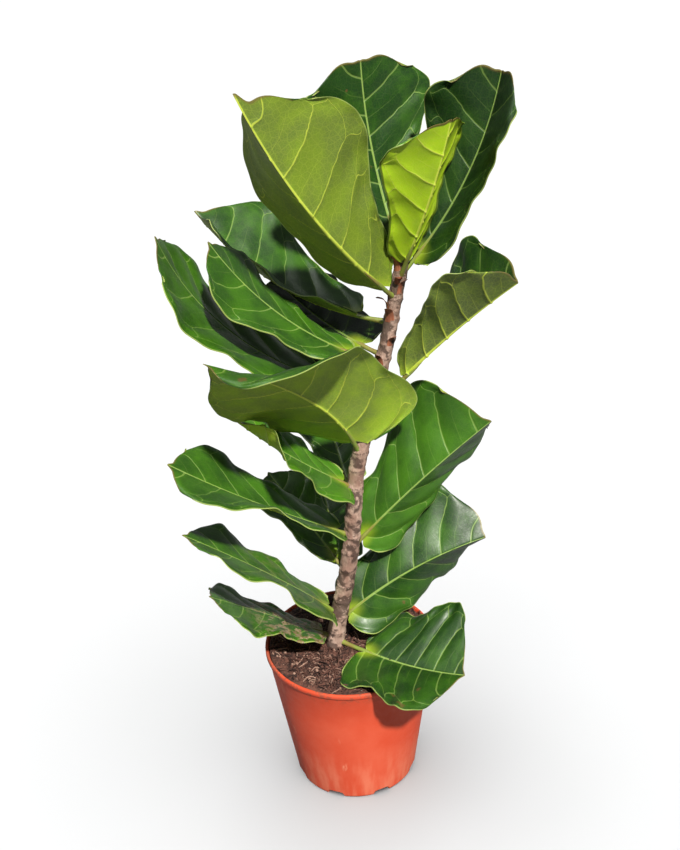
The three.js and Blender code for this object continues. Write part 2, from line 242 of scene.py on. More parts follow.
class SharedEffects:
    """Shader node groups that more than one finish uses."""

    def __init__(self) -> None:
        """Build each group once."""
        self.mottle = self._mottle()
        self.flecks = self._flecks()
        self.veins = self._veins()

    @staticmethod
    def _mottle() -> bpy.types.NodeTree:
        """Cloudy and grainy variation of a surface.

        Returns:
            The group: Vector and Size in, Cloud and Grain out, each 0 to 1.
        """
        tree, graph, start, end = new_group(
            "mottle",
            {"Vector": "NodeSocketVector", "Size": "NodeSocketFloat"},
            {"Cloud": "NodeSocketFloat", "Grain": "NodeSocketFloat"},
        )
        scale = graph.math("DIVIDE", 1.0, start.outputs["Size"])
        cloud = graph.add("ShaderNodeTexNoise", {
            "Vector": start.outputs["Vector"], "Scale": scale, "Detail": 3.0, "Roughness": 0.55})
        fine = graph.add("ShaderNodeTexNoise", {
            "Vector": start.outputs["Vector"], "Scale": graph.math("MULTIPLY", scale, 9.0),
            "Detail": 4.0, "Roughness": 0.65})
        graph.feed(end.inputs["Cloud"], graph.step(cloud.outputs["Fac"], 0.32, 0.68))
        graph.feed(end.inputs["Grain"], graph.step(fine.outputs["Fac"], 0.3, 0.7))
        return tree

    @staticmethod
    def _flecks() -> bpy.types.NodeTree:
        """Scattered small marks of uneven size.

        Returns:
            The group: Vector, Size and Amount in, Mask out, 0 to 1.
        """
        tree, graph, start, end = new_group(
            "flecks",
            {"Vector": "NodeSocketVector", "Size": "NodeSocketFloat", "Amount": "NodeSocketFloat"},
            {"Mask": "NodeSocketFloat"},
        )
        scale = graph.math("DIVIDE", 1.0, start.outputs["Size"])
        warp = graph.add("ShaderNodeTexNoise", {
            "Vector": start.outputs["Vector"], "Scale": graph.math("MULTIPLY", scale, 1.7),
            "Detail": 2.0})
        shift = graph.add("ShaderNodeVectorMath", {0: warp.outputs["Color"], 1: (0.5, 0.5, 0.5)},
                          operation="SUBTRACT")
        reach = graph.add("ShaderNodeVectorMath", {
            0: shift.outputs[0], "Scale": graph.math("MULTIPLY", start.outputs["Size"], 0.7)},
            operation="SCALE")
        place = graph.add("ShaderNodeVectorMath", {
            0: start.outputs["Vector"], 1: reach.outputs[0]}, operation="ADD")
        cells = graph.add("ShaderNodeTexVoronoi", {"Vector": place.outputs[0], "Scale": scale})
        pick = graph.add("ShaderNodeSeparateColor", {0: cells.outputs["Color"]})
        chosen = graph.math("LESS_THAN", pick.outputs[0], start.outputs["Amount"])
        width = graph.math("MULTIPLY_ADD", pick.outputs[1], 0.25, 0.12)
        spot = graph.step(cells.outputs["Distance"], graph.math("MULTIPLY", width, 0.55), width,
                          1.0, 0.0)
        graph.feed(end.inputs["Mask"], graph.math("MULTIPLY", spot, chosen))
        return tree

    @staticmethod
    def _veins() -> bpy.types.NodeTree:
        """Veins of one blade, from its place and flat coordinates.

        Returns:
            The group: Place, Flat, Length and Count in; Midrib, Side, Halo and Net out, each 0
            to 1.
        """
        tree, graph, start, end = new_group(
            "leaf_veins",
            {"Place": "NodeSocketVector", "Flat": "NodeSocketVector",
             "Length": "NodeSocketFloat", "Count": "NodeSocketFloat"},
            {"Midrib": "NodeSocketFloat", "Side": "NodeSocketFloat", "Halo": "NodeSocketFloat",
             "Net": "NodeSocketFloat"},
        )
        place = graph.add("ShaderNodeSeparateXYZ", {0: start.outputs["Place"]})
        flat = graph.add("ShaderNodeSeparateXYZ", {0: start.outputs["Flat"]})
        along, across = place.outputs[0], place.outputs[1]
        out = graph.math("ABSOLUTE", across)
        wobble = graph.add("ShaderNodeTexNoise", {
            "Vector": start.outputs["Flat"], "Scale": 0.03, "Detail": 2.0})
        waver = graph.math("MULTIPLY", graph.math("SUBTRACT", wobble.outputs["Fac"], 0.5),
                           VEINS.waver)
        slant = graph.math("MULTIPLY_ADD", out, VEINS.curl, VEINS.lean)
        reach = graph.math("MULTIPLY", out, slant)
        stagger = graph.math("MULTIPLY", graph.math("GREATER_THAN", across, 0.0), VEINS.stagger)
        turn = graph.math("ADD", graph.math("MULTIPLY", graph.math("SUBTRACT", along, reach),
                                            start.outputs["Count"]), stagger)
        turn = graph.math("ADD", turn, graph.math("MULTIPLY", waver, out))
        near = graph.math("ABSOLUTE", graph.math("SUBTRACT", graph.math(
            "FRACT", graph.math("ADD", turn, 8.5)), 0.5))
        pitch = graph.math("DIVIDE", graph.math(
            "MULTIPLY", start.outputs["Length"], VEINS.veined), start.outputs["Count"])
        fork = graph.step(out, VEINS.fork_from, VEINS.fork_to, 0.0, 0.5)
        gap = graph.math("MULTIPLY", graph.math("ABSOLUTE", graph.math("SUBTRACT", near, fork)),
                         pitch)
        half = graph.lerp(out, VEINS.side_half, VEINS.side_end)
        side = graph.step(gap, half, graph.math("ADD", half, 0.6), 1.0, 0.0)
        lived = graph.math("MULTIPLY", graph.step(turn, -0.5, -0.3),
                           graph.step(out, 0.93, 0.985, 1.0, 0.0))
        between = graph.math("MULTIPLY", graph.math("SUBTRACT", 0.5, near), pitch)
        minor = graph.math("MULTIPLY", graph.step(between, 0.15, 0.7, VEINS.minor_shows, 0.0),
                           graph.step(out, 0.25, 0.6, 1.0, 0.0))
        side = graph.math("MAXIMUM", graph.math("MULTIPLY", side, lived), minor)
        halo = graph.math("MULTIPLY", graph.step(gap, 0.0, VEINS.halo_reach, 1.0, 0.0), lived)
        rib_half = graph.lerp(along, VEINS.rib_half, VEINS.rib_end)
        rib = graph.step(graph.math("ABSOLUTE", flat.outputs[1]), rib_half,
                         graph.math("ADD", rib_half, 0.7), 1.0, 0.0)
        ladder = graph.add("ShaderNodeTexVoronoi", {
            "Vector": start.outputs["Flat"], "Scale": VEINS.ladder_per_mm, "Randomness": 0.9},
            feature="DISTANCE_TO_EDGE", voronoi_dimensions="2D")
        mesh = graph.add("ShaderNodeTexVoronoi", {
            "Vector": start.outputs["Flat"], "Scale": VEINS.mesh_per_mm, "Randomness": 1.0},
            feature="DISTANCE_TO_EDGE", voronoi_dimensions="2D")
        net = graph.math("MAXIMUM", graph.step(ladder.outputs["Distance"], 0.0, 0.07, 0.8, 0.0),
                         graph.step(mesh.outputs["Distance"], 0.0, 0.14, 0.5, 0.0))
        for label, socket in {"Midrib": rib, "Side": side, "Halo": halo, "Net": net}.items():
            graph.feed(end.inputs[label], socket)
        return tree


class FinishBase:
    """Common ways of a finish's material."""

    @staticmethod
    def start(name: str) -> tuple[bpy.types.Material, Graph, bpy.types.Node]:
        """New material with one Principled shader.

        Args:
            name: the material's name.

        Returns:
            The material, its graph and its shader.
        """
        material = bpy.data.materials.new(name)
        material.use_nodes = True
        graph = Graph(material.node_tree)
        shader = material.node_tree.nodes["Principled BSDF"]
        return material, graph, shader

    @staticmethod
    def effect(graph: Graph, tree: bpy.types.NodeTree, **feeds: object) -> bpy.types.Node:
        """Place a shared effect in a material.

        Args:
            graph: the material's graph.
            tree: the effect's group.
            **feeds: its inputs by name.

        Returns:
            The group node.
        """
        return graph.add("ShaderNodeGroup", node_tree=tree, feeds=feeds)


# ---------------------------------------------------------------------------------------------
# Finishes
# ---------------------------------------------------------------------------------------------


@dataclass(frozen=True)
class VeinPattern:
    """How the veins run: shares of the blade's length and half-width, and half-widths in mm."""

    lean: float = 0.12
    curl: float = 0.16
    stagger: float = 0.42
    fork_from: float = 0.74
    fork_to: float = 0.95
    veined: float = 0.82
    waver: float = 0.5
    side_half: float = 0.6
    side_end: float = 0.15
    rib_half: float = 1.4
    rib_end: float = 0.55
    halo_reach: float = 7.0
    minor_shows: float = 0.25
    ladder_per_mm: float = 0.12
    mesh_per_mm: float = 0.3

    def turn(self, along: Array, across: Array, count: float) -> Array:
        """Vein number at a place on the blade: whole on a side vein.

        Args:
            along: 0 at the blade's base to 1 at its tip.
            across: -1 at the right margin to 1 at the left one.
            count: side veins on each half.

        Returns:
            The running vein number.
        """
        out = np.abs(across)
        run = along - out * (self.lean + self.curl * out)
        return run * count + self.stagger * (across > 0)


VEINS = VeinPattern()


@dataclass(frozen=True)
class LeafFinish(FinishBase):
    """Leathery leaf: waxy dark green above, dull pale green below, with pale veins."""

    old: Colour = srgb(24, 60, 12)
    fresh: Colour = srgb(76, 130, 20)
    vein: Colour = srgb(138, 166, 84)
    foot: Colour = srgb(166, 190, 44)
    under_old: Colour = srgb(102, 120, 58)
    under_fresh: Colour = srgb(158, 192, 18)
    under_vein: Colour = srgb(186, 200, 72)
    rim: Colour = srgb(156, 172, 96)
    dark_rim: Colour = srgb(24, 40, 14)
    blemish: Colour = srgb(104, 72, 40)
    # The next two colours are painted shade: the darker green, above and below, of a leaf that
    # stands in shade.
    painted_shade: Colour = srgb(8, 26, 10)
    under_painted_shade: Colour = srgb(40, 54, 24)
    scar: Colour = srgb(176, 160, 128)
    cloud_size: float = 45.0
    cloud_ageing: float = 0.35
    scuff_size: float = 12.0
    mark_size: float = 22.0
    mark_share: float = 0.05
    net_above: float = 0.07
    net_below: float = 0.28
    gloss: float = 0.38
    dull: float = 0.62
    coat: float = 0.05
    margin_reach: tuple[float, float] = (1.4, 3.6)

    def material(self, effects: SharedEffects) -> bpy.types.Material:
        """Build the leaf's material.

        Args:
            effects: the shared node groups.

        Returns:
            The material, which reads the blade's own attributes.
        """
        made, graph, shader = self.start("waxy_leaf")
        place = graph.add("ShaderNodeAttribute", attribute_name="place").outputs["Vector"]
        flat = graph.add("ShaderNodeAttribute", attribute_name="flat").outputs["Vector"]
        kind = graph.add("ShaderNodeSeparateXYZ", {
            0: graph.add("ShaderNodeAttribute", attribute_name="kind").outputs["Vector"]})
        under = graph.add("ShaderNodeAttribute", attribute_name="under").outputs["Fac"]
        along, aside, margin = graph.add("ShaderNodeSeparateXYZ", {0: flat}).outputs
        veins = self.effect(graph, effects.veins, Place=place, Flat=flat,
                            Length=kind.outputs[1], Count=kind.outputs[2])
        spread = self.effect(graph, effects.mottle, Vector=flat, Size=self.cloud_size)
        age = graph.math("ADD", kind.outputs[0], graph.math(
            "MULTIPLY", graph.math("SUBTRACT", spread.outputs["Cloud"], 0.5),
            self.cloud_ageing), clamp=True)
        # Painted shade: a per-leaf share that darkens the whole leaf, above and below, as if it
        # stood in shade, and dims its veins.
        dark = graph.add("ShaderNodeAttribute", attribute_name="painted_shade").outputs["Fac"]
        above = graph.blend(dark, graph.blend(age, self.old, self.fresh), self.painted_shade)
        above = graph.blend(graph.math("MULTIPLY", veins.outputs["Halo"],
                                       graph.lerp(age, 0.06, 0.36)), above, self.fresh)
        above = graph.blend(graph.math("MULTIPLY", veins.outputs["Net"], self.net_above), above,
                            self.vein)
        side = veins.outputs["Side"]
        above = graph.blend(graph.math("MULTIPLY", side, graph.lerp(dark, 0.5, 0.15)), above,
                            self.vein)
        above = graph.blend(graph.math("MULTIPLY", veins.outputs["Midrib"],
                                       graph.lerp(dark, 0.9, 0.4)), above, self.vein)
        below = graph.blend(dark, graph.blend(age, self.under_old, self.under_fresh),
                            self.under_painted_shade)
        below = graph.blend(graph.math("MULTIPLY", veins.outputs["Net"], self.net_below), below,
                            self.under_vein)
        below = graph.blend(graph.math("MAXIMUM", graph.math("MULTIPLY", side, 0.8),
                                       veins.outputs["Midrib"]), below, self.under_vein)
        colour = graph.blend(under, above, below)
        foot = graph.math("MULTIPLY", graph.step(along, 2.0, 26.0, 0.6, 0.0), graph.step(
            graph.math("ABSOLUTE", aside), 2.0, 20.0, 1.0, 0.0))
        colour = graph.blend(foot, colour, self.foot)
        rolled = graph.math("MULTIPLY", under, graph.step(kind.outputs[0], 0.6, 0.8))
        reach = graph.lerp(rolled, *self.margin_reach)
        edge = graph.step(margin, graph.math("MULTIPLY", reach, 0.5), reach, 0.8, 0.0)
        colour = graph.blend(edge, colour, graph.blend(rolled, self.rim, self.dark_rim))
        marks = self.effect(graph, effects.flecks, Vector=flat, Size=self.mark_size,
                            Amount=self.mark_share)
        spot = graph.add("ShaderNodeSeparateXYZ", {0: place})
        tip = graph.step(spot.outputs[0], 0.985, 1.0)
        worn = self.effect(graph, effects.mottle, Vector=flat, Size=self.scuff_size)
        worn = graph.math("MULTIPLY", graph.step(worn.outputs["Cloud"], 0.52, 0.6),
                          spot.outputs[2])
        colour = graph.blend(worn, colour, graph.blend(spread.outputs["Grain"], self.blemish,
                                                       self.scar))
        brown = graph.math("MAXIMUM", graph.math(
            "MULTIPLY", marks.outputs["Mask"], graph.lerp(under, 0.6, 0.0)),
            graph.math("MULTIPLY", tip, 0.7))
        colour = graph.blend(brown, colour, self.blemish)
        graph.feed(shader.inputs["Base Color"], colour)
        shine = graph.math("MULTIPLY_ADD", spread.outputs["Grain"], 0.12, self.gloss)
        graph.feed(shader.inputs["Roughness"], graph.lerp(under, shine, self.dull))
        graph.feed(shader.inputs["Coat Weight"], graph.lerp(under, self.coat, 0.0))
        shader.inputs["Specular IOR Level"].default_value = 0.38
        shader.inputs["Coat Roughness"].default_value = 0.22
        shader.inputs["Subsurface Weight"].default_value = 0.3
        shader.inputs["Subsurface Radius"].default_value = (0.6, 1.0, 0.15)
        shader.inputs["Subsurface Scale"].default_value = 0.0012
        sunk = graph.lerp(under, -0.7, 1.0)
        ridges = graph.math("MAXIMUM", veins.outputs["Side"],
                            graph.math("MULTIPLY", veins.outputs["Net"], 0.22))
        height = graph.math("ADD", graph.math("MULTIPLY", ridges, sunk),
                            graph.math("MULTIPLY", spread.outputs["Grain"], 0.05))
        bump = graph.add("ShaderNodeBump", {"Height": height, "Strength": 0.6,
                                            "Distance": 0.0006})
        graph.feed(shader.inputs["Normal"], bump.outputs["Normal"])
        return made


@dataclass(frozen=True)
class StalkFinish(FinishBase):
    """Leaf stalk: smooth, yellow-green, clouded and flecked with brown."""

    green: Colour = srgb(128, 150, 62)
    brown: Colour = srgb(132, 104, 58)

    def material(self, effects: SharedEffects) -> bpy.types.Material:
        """Build the stalk's material.

        Args:
            effects: the shared node groups.

        Returns:
            The material.
        """
        made, graph, shader = self.start("leaf_stalk")
        point = graph.add("ShaderNodeTexCoord").outputs["Object"]
        spread = self.effect(graph, effects.mottle, Vector=point, Size=0.02)
        marks = self.effect(graph, effects.flecks, Vector=point, Size=0.003, Amount=0.4)
        colour = graph.blend(graph.math("MULTIPLY", spread.outputs["Cloud"], 0.8), self.green,
                             self.brown)
        colour = graph.blend(graph.math("MULTIPLY", marks.outputs["Mask"], 0.35), colour,
                             self.brown)
        graph.feed(shader.inputs["Base Color"], colour)
        graph.feed(shader.inputs["Roughness"],
                   graph.math("MULTIPLY_ADD", spread.outputs["Grain"], 0.15, 0.42))
        bump = graph.add("ShaderNodeBump", {"Height": spread.outputs["Grain"], "Strength": 0.3,
                                            "Distance": 0.0004})
        graph.feed(shader.inputs["Normal"], bump.outputs["Normal"])
        return made


@dataclass(frozen=True)
class BarkFinish(FinishBase):
    """Young bark: grey-brown with a pink cast, pale corky patches and dark scars."""

    bark: Colour = srgb(146, 112, 98)
    pale: Colour = srgb(200, 170, 154)
    dark: Colour = srgb(62, 42, 36)
    green: Colour = srgb(80, 64, 44)
    cloud_size: float = 0.014
    patch_size: float = 0.018
    mark_size: float = 0.006
    mark_share: float = 0.5
    ring_spacing: float = 0.026
    young_from: float = 0.6
    young_to: float = 0.82

    def material(self, effects: SharedEffects) -> bpy.types.Material:
        """Build the bark's material.

        Args:
            effects: the shared node groups.

        Returns:
            The material.
        """
        made, graph, shader = self.start("young_bark")
        point = graph.add("ShaderNodeTexCoord").outputs["Object"]
        drawn = graph.add("ShaderNodeMapping", {"Vector": point, "Scale": (1.0, 1.0, 0.35)})
        spread = self.effect(graph, effects.mottle, Vector=drawn.outputs[0],
                             Size=self.cloud_size)
        patch = self.effect(graph, effects.mottle, Vector=point, Size=self.patch_size)
        marks = self.effect(graph, effects.flecks, Vector=point, Size=self.mark_size,
                            Amount=self.mark_share)
        rise = graph.add("ShaderNodeSeparateXYZ", {0: point}).outputs[2]
        young = graph.step(rise, self.young_from, self.young_to, 0.0, 0.65)
        colour = graph.blend(spread.outputs["Cloud"], self.bark, self.pale)
        colour = graph.blend(graph.step(patch.outputs["Cloud"], 0.4, 0.75, 0.0, 0.8), colour,
                             self.dark)
        colour = graph.blend(young, colour, self.green)
        colour = graph.blend(graph.math("MULTIPLY", marks.outputs["Mask"], 0.6), colour, self.pale)
        ring = graph.math("SINE", graph.math("MULTIPLY_ADD", rise,
                                             2 * math.pi / self.ring_spacing, math.pi / 2))
        broken = graph.math("MULTIPLY", graph.step(ring, 0.88, 0.99, 0.0, 0.8),
                            spread.outputs["Grain"])
        colour = graph.blend(broken, colour, self.dark)
        graph.feed(shader.inputs["Base Color"], colour)
        graph.feed(shader.inputs["Roughness"],
                   graph.math("MULTIPLY_ADD", spread.outputs["Grain"], 0.15, 0.72))
        height = graph.math("ADD", spread.outputs["Grain"],
                            graph.math("MULTIPLY", marks.outputs["Mask"], 0.6))
        bump = graph.add("ShaderNodeBump", {"Height": height, "Strength": 0.8,
                                            "Distance": 0.0008})
        graph.feed(shader.inputs["Normal"], bump.outputs["Normal"])
        return made


@dataclass(frozen=True)
class SheathFinish(FinishBase):
    """Dry papery sheath: reddish brown with fine lengthwise streaks."""

    dry: Colour = srgb(120, 62, 44)
    light: Colour = srgb(166, 104, 74)

    def material(self, effects: SharedEffects) -> bpy.types.Material:
        """Build the sheath's material.

        Args:
            effects: the shared node groups.

        Returns:
            The material.
        """
        made, graph, shader = self.start("dry_sheath")
        point = graph.add("ShaderNodeTexCoord").outputs["Object"]
        drawn = graph.add("ShaderNodeMapping", {"Vector": point, "Scale": (1.0, 1.0, 0.12)})
        streak = self.effect(graph, effects.mottle, Vector=drawn.outputs[0], Size=0.004)
        graph.feed(shader.inputs["Base Color"],
                   graph.blend(streak.outputs["Cloud"], self.dry, self.light))
        graph.feed(shader.inputs["Roughness"],
                   graph.math("MULTIPLY_ADD", streak.outputs["Grain"], 0.2, 0.55))
        bump = graph.add("ShaderNodeBump", {"Height": streak.outputs["Cloud"], "Strength": 0.5,
                                            "Distance": 0.0005})
        graph.feed(shader.inputs["Normal"], bump.outputs["Normal"])
        return made


@dataclass(frozen=True)
class PotFinish(FinishBase):
    """Terracotta-coloured plastic, scuffed, with soil dust towards the rim."""

    body: Colour = srgb(214, 76, 44)
    faded: Colour = srgb(226, 100, 70)
    scuff: Colour = srgb(240, 150, 118)
    dust: Colour = srgb(120, 82, 64)
    bounce: Colour = srgb(120, 104, 96)
    cloud_size: float = 0.07
    streak_size: float = 0.012
    scuff_size: float = 0.02
    scuff_share: float = 0.22
    streaked_to: float = 0.11
    dusty_from: float = 0.19
    dusty_to: float = 0.214

    def material(self, effects: SharedEffects) -> bpy.types.Material:
        """Build the pot's material.

        Args:
            effects: the shared node groups.

        Returns:
            The material.
        """
        made, graph, shader = self.start("nursery_pot_plastic")
        point = graph.add("ShaderNodeTexCoord").outputs["Object"]
        cloud = self.effect(graph, effects.mottle, Vector=point, Size=self.cloud_size)
        upright = graph.add("ShaderNodeMapping", {"Vector": point, "Scale": (1.0, 1.0, 0.08)})
        streak = self.effect(graph, effects.mottle, Vector=upright.outputs[0],
                             Size=self.streak_size)
        slant = graph.add("ShaderNodeMapping", {"Vector": point, "Rotation": (0.3, 0.5, 0.2),
                                                "Scale": (1.0, 1.0, 0.25)})
        scuffs = self.effect(graph, effects.flecks, Vector=slant.outputs[0],
                             Size=self.scuff_size, Amount=self.scuff_share)
        rise = graph.add("ShaderNodeSeparateXYZ", {0: point}).outputs[2]
        colour = graph.blend(graph.math("MULTIPLY", cloud.outputs["Cloud"], 0.6), self.body,
                             self.faded)
        low = graph.step(rise, 0.02, self.streaked_to, 0.4, 0.0)
        colour = graph.blend(graph.math("MULTIPLY", streak.outputs["Cloud"], low), colour,
                             self.scuff)
        worn = graph.math("MULTIPLY", scuffs.outputs["Mask"], streak.outputs["Grain"])
        colour = graph.blend(graph.math("MULTIPLY", worn, 0.7), colour, self.scuff)
        grime = graph.math("MULTIPLY", graph.step(rise, self.dusty_from, self.dusty_to, 0.0, 0.55),
                           graph.step(cloud.outputs["Grain"], 0.45, 0.8))
        colour = graph.blend(grime, colour, self.dust)
        thrown = graph.add("ShaderNodeLightPath").outputs["Is Diffuse Ray"]
        graph.feed(shader.inputs["Base Color"],
                   graph.blend(graph.math("MULTIPLY", thrown, 0.8), colour, self.bounce))
        graph.feed(shader.inputs["Roughness"],
                   graph.math("MULTIPLY_ADD", cloud.outputs["Grain"], 0.18, 0.5))
        shader.inputs["Specular IOR Level"].default_value = 0.4
        height = graph.math("ADD", graph.math("MULTIPLY", cloud.outputs["Grain"], 0.3), worn)
        bump = graph.add("ShaderNodeBump", {"Height": height, "Strength": 0.25,
                                            "Distance": 0.0005})
        graph.feed(shader.inputs["Normal"], bump.outputs["Normal"])
        return made


@dataclass(frozen=True)
class SoilFinish(FinishBase):
    """Coarse potting mix; loose bits carry a tone of their own."""

    dark: Colour = srgb(54, 34, 29)
    mid: Colour = srgb(122, 80, 66)
    light: Colour = srgb(200, 160, 140)
    cloud_size: float = 0.009

    def material(self, effects: SharedEffects, loose: bool) -> bpy.types.Material:
        """Build the material of the bed, or of the loose bits on it.

        Args:
            effects: the shared node groups.
            loose: true for bits with a tone attribute.

        Returns:
            The material.
        """
        made, graph, shader = self.start("potting_mix_bits" if loose else "potting_mix")
        point = graph.add("ShaderNodeTexCoord").outputs["Object"]
        spread = self.effect(graph, effects.mottle, Vector=point, Size=self.cloud_size)
        if loose:
            tone = graph.add("ShaderNodeAttribute", attribute_name="tone").outputs["Fac"]
            colour = graph.blend(graph.step(tone, 0.0, 0.75), self.dark, self.mid)
            colour = graph.blend(graph.step(tone, 0.78, 0.95), colour, self.light)
            colour = graph.blend(graph.math("MULTIPLY", spread.outputs["Grain"], 0.4), colour,
                                 self.dark)
        else:
            colour = graph.blend(spread.outputs["Cloud"], self.dark, self.mid)
        graph.feed(shader.inputs["Base Color"], colour)
        graph.feed(shader.inputs["Roughness"],
                   graph.math("MULTIPLY_ADD", spread.outputs["Grain"], 0.1, 0.85))
        bump = graph.add("ShaderNodeBump", {"Height": spread.outputs["Grain"], "Strength": 0.8,
                                            "Distance": 0.001})
        graph.feed(shader.inputs["Normal"], bump.outputs["Normal"])
        return made


# ---------------------------------------------------------------------------------------------
# Meshes
# ---------------------------------------------------------------------------------------------


def make_object(name: str, points: Array, faces: list, material: bpy.types.Material,
                sharp: float = 0.0) -> bpy.types.Object:
    """Mesh object at the origin, smooth but for its sharp edges.

    Args:
        name: the object's name.
        points: its points in metres.
        faces: its faces, as rows of point numbers.
        material: its material.
        sharp: angle past which an edge stays sharp, or 0 to smooth them all.

    Returns:
        The object.
    """
    mesh = bpy.data.meshes.new(name)
    mesh.from_pydata(points.tolist(), [], faces)
    mesh.shade_smooth()
    if sharp:
        mesh.set_sharp_from_angle(angle=sharp)
    mesh.materials.append(material)
    mesh.update()
    thing = bpy.data.objects.new(name, mesh)
    bpy.context.scene.collection.objects.link(thing)
    return thing


def store(mesh: bpy.types.Mesh, name: str, values: Array) -> None:
    """Keep a value or a vector at each point of a mesh.

    Args:
        mesh: the mesh.
        name: the attribute's name.
        values: one number or three for each point.
    """
    kind, key = ("FLOAT", "value") if values.ndim == 1 else ("FLOAT_VECTOR", "vector")
    layer = mesh.attributes.new(name, kind, "POINT")
    layer.data.foreach_set(key, np.ascontiguousarray(values, dtype=np.float32).ravel())


def grid_faces(rows: int, columns: int, first: int, closed: bool = False,
               flip: bool = False) -> list[tuple[int, int, int, int]]:
    """Quads of a grid of points laid row by row.

    Args:
        rows: points down the grid.
        columns: points across it.
        first: number of its first point.
        closed: join the last column to the first.
        flip: turn the faces over.

    Returns:
        The quads.
    """
    quads = []
    for i in range(rows - 1):
        for j in range(columns if closed else columns - 1):
            k = (j + 1) % columns
            a, b = first + i * columns + j, first + i * columns + k
            c, d = a + columns, b + columns
            quads.append((a, b, d, c) if flip else (a, c, d, b))
    return quads


def grid_rim(rows: int, columns: int) -> list[tuple[int, int]]:
    """Sides of the rim of a grid of points laid row by row, in order round it.

    Args:
        rows: points down the grid.
        columns: points across it.

    Returns:
        The two point numbers of each side.
    """
    rim = list(range(columns - 1))
    rim += [i * columns + columns - 1 for i in range(rows - 1)]
    rim += [(rows - 1) * columns + j for j in range(columns - 1, 0, -1)]
    rim += [i * columns for i in range(rows - 1, 0, -1)]
    return list(zip(rim, rim[1:] + rim[:1]))


class Bits(Enum):
    """Shapes that are scattered over a surface."""

    CRUMB = "crumb"
    FIBRE = "fibre"
    CORK = "cork"


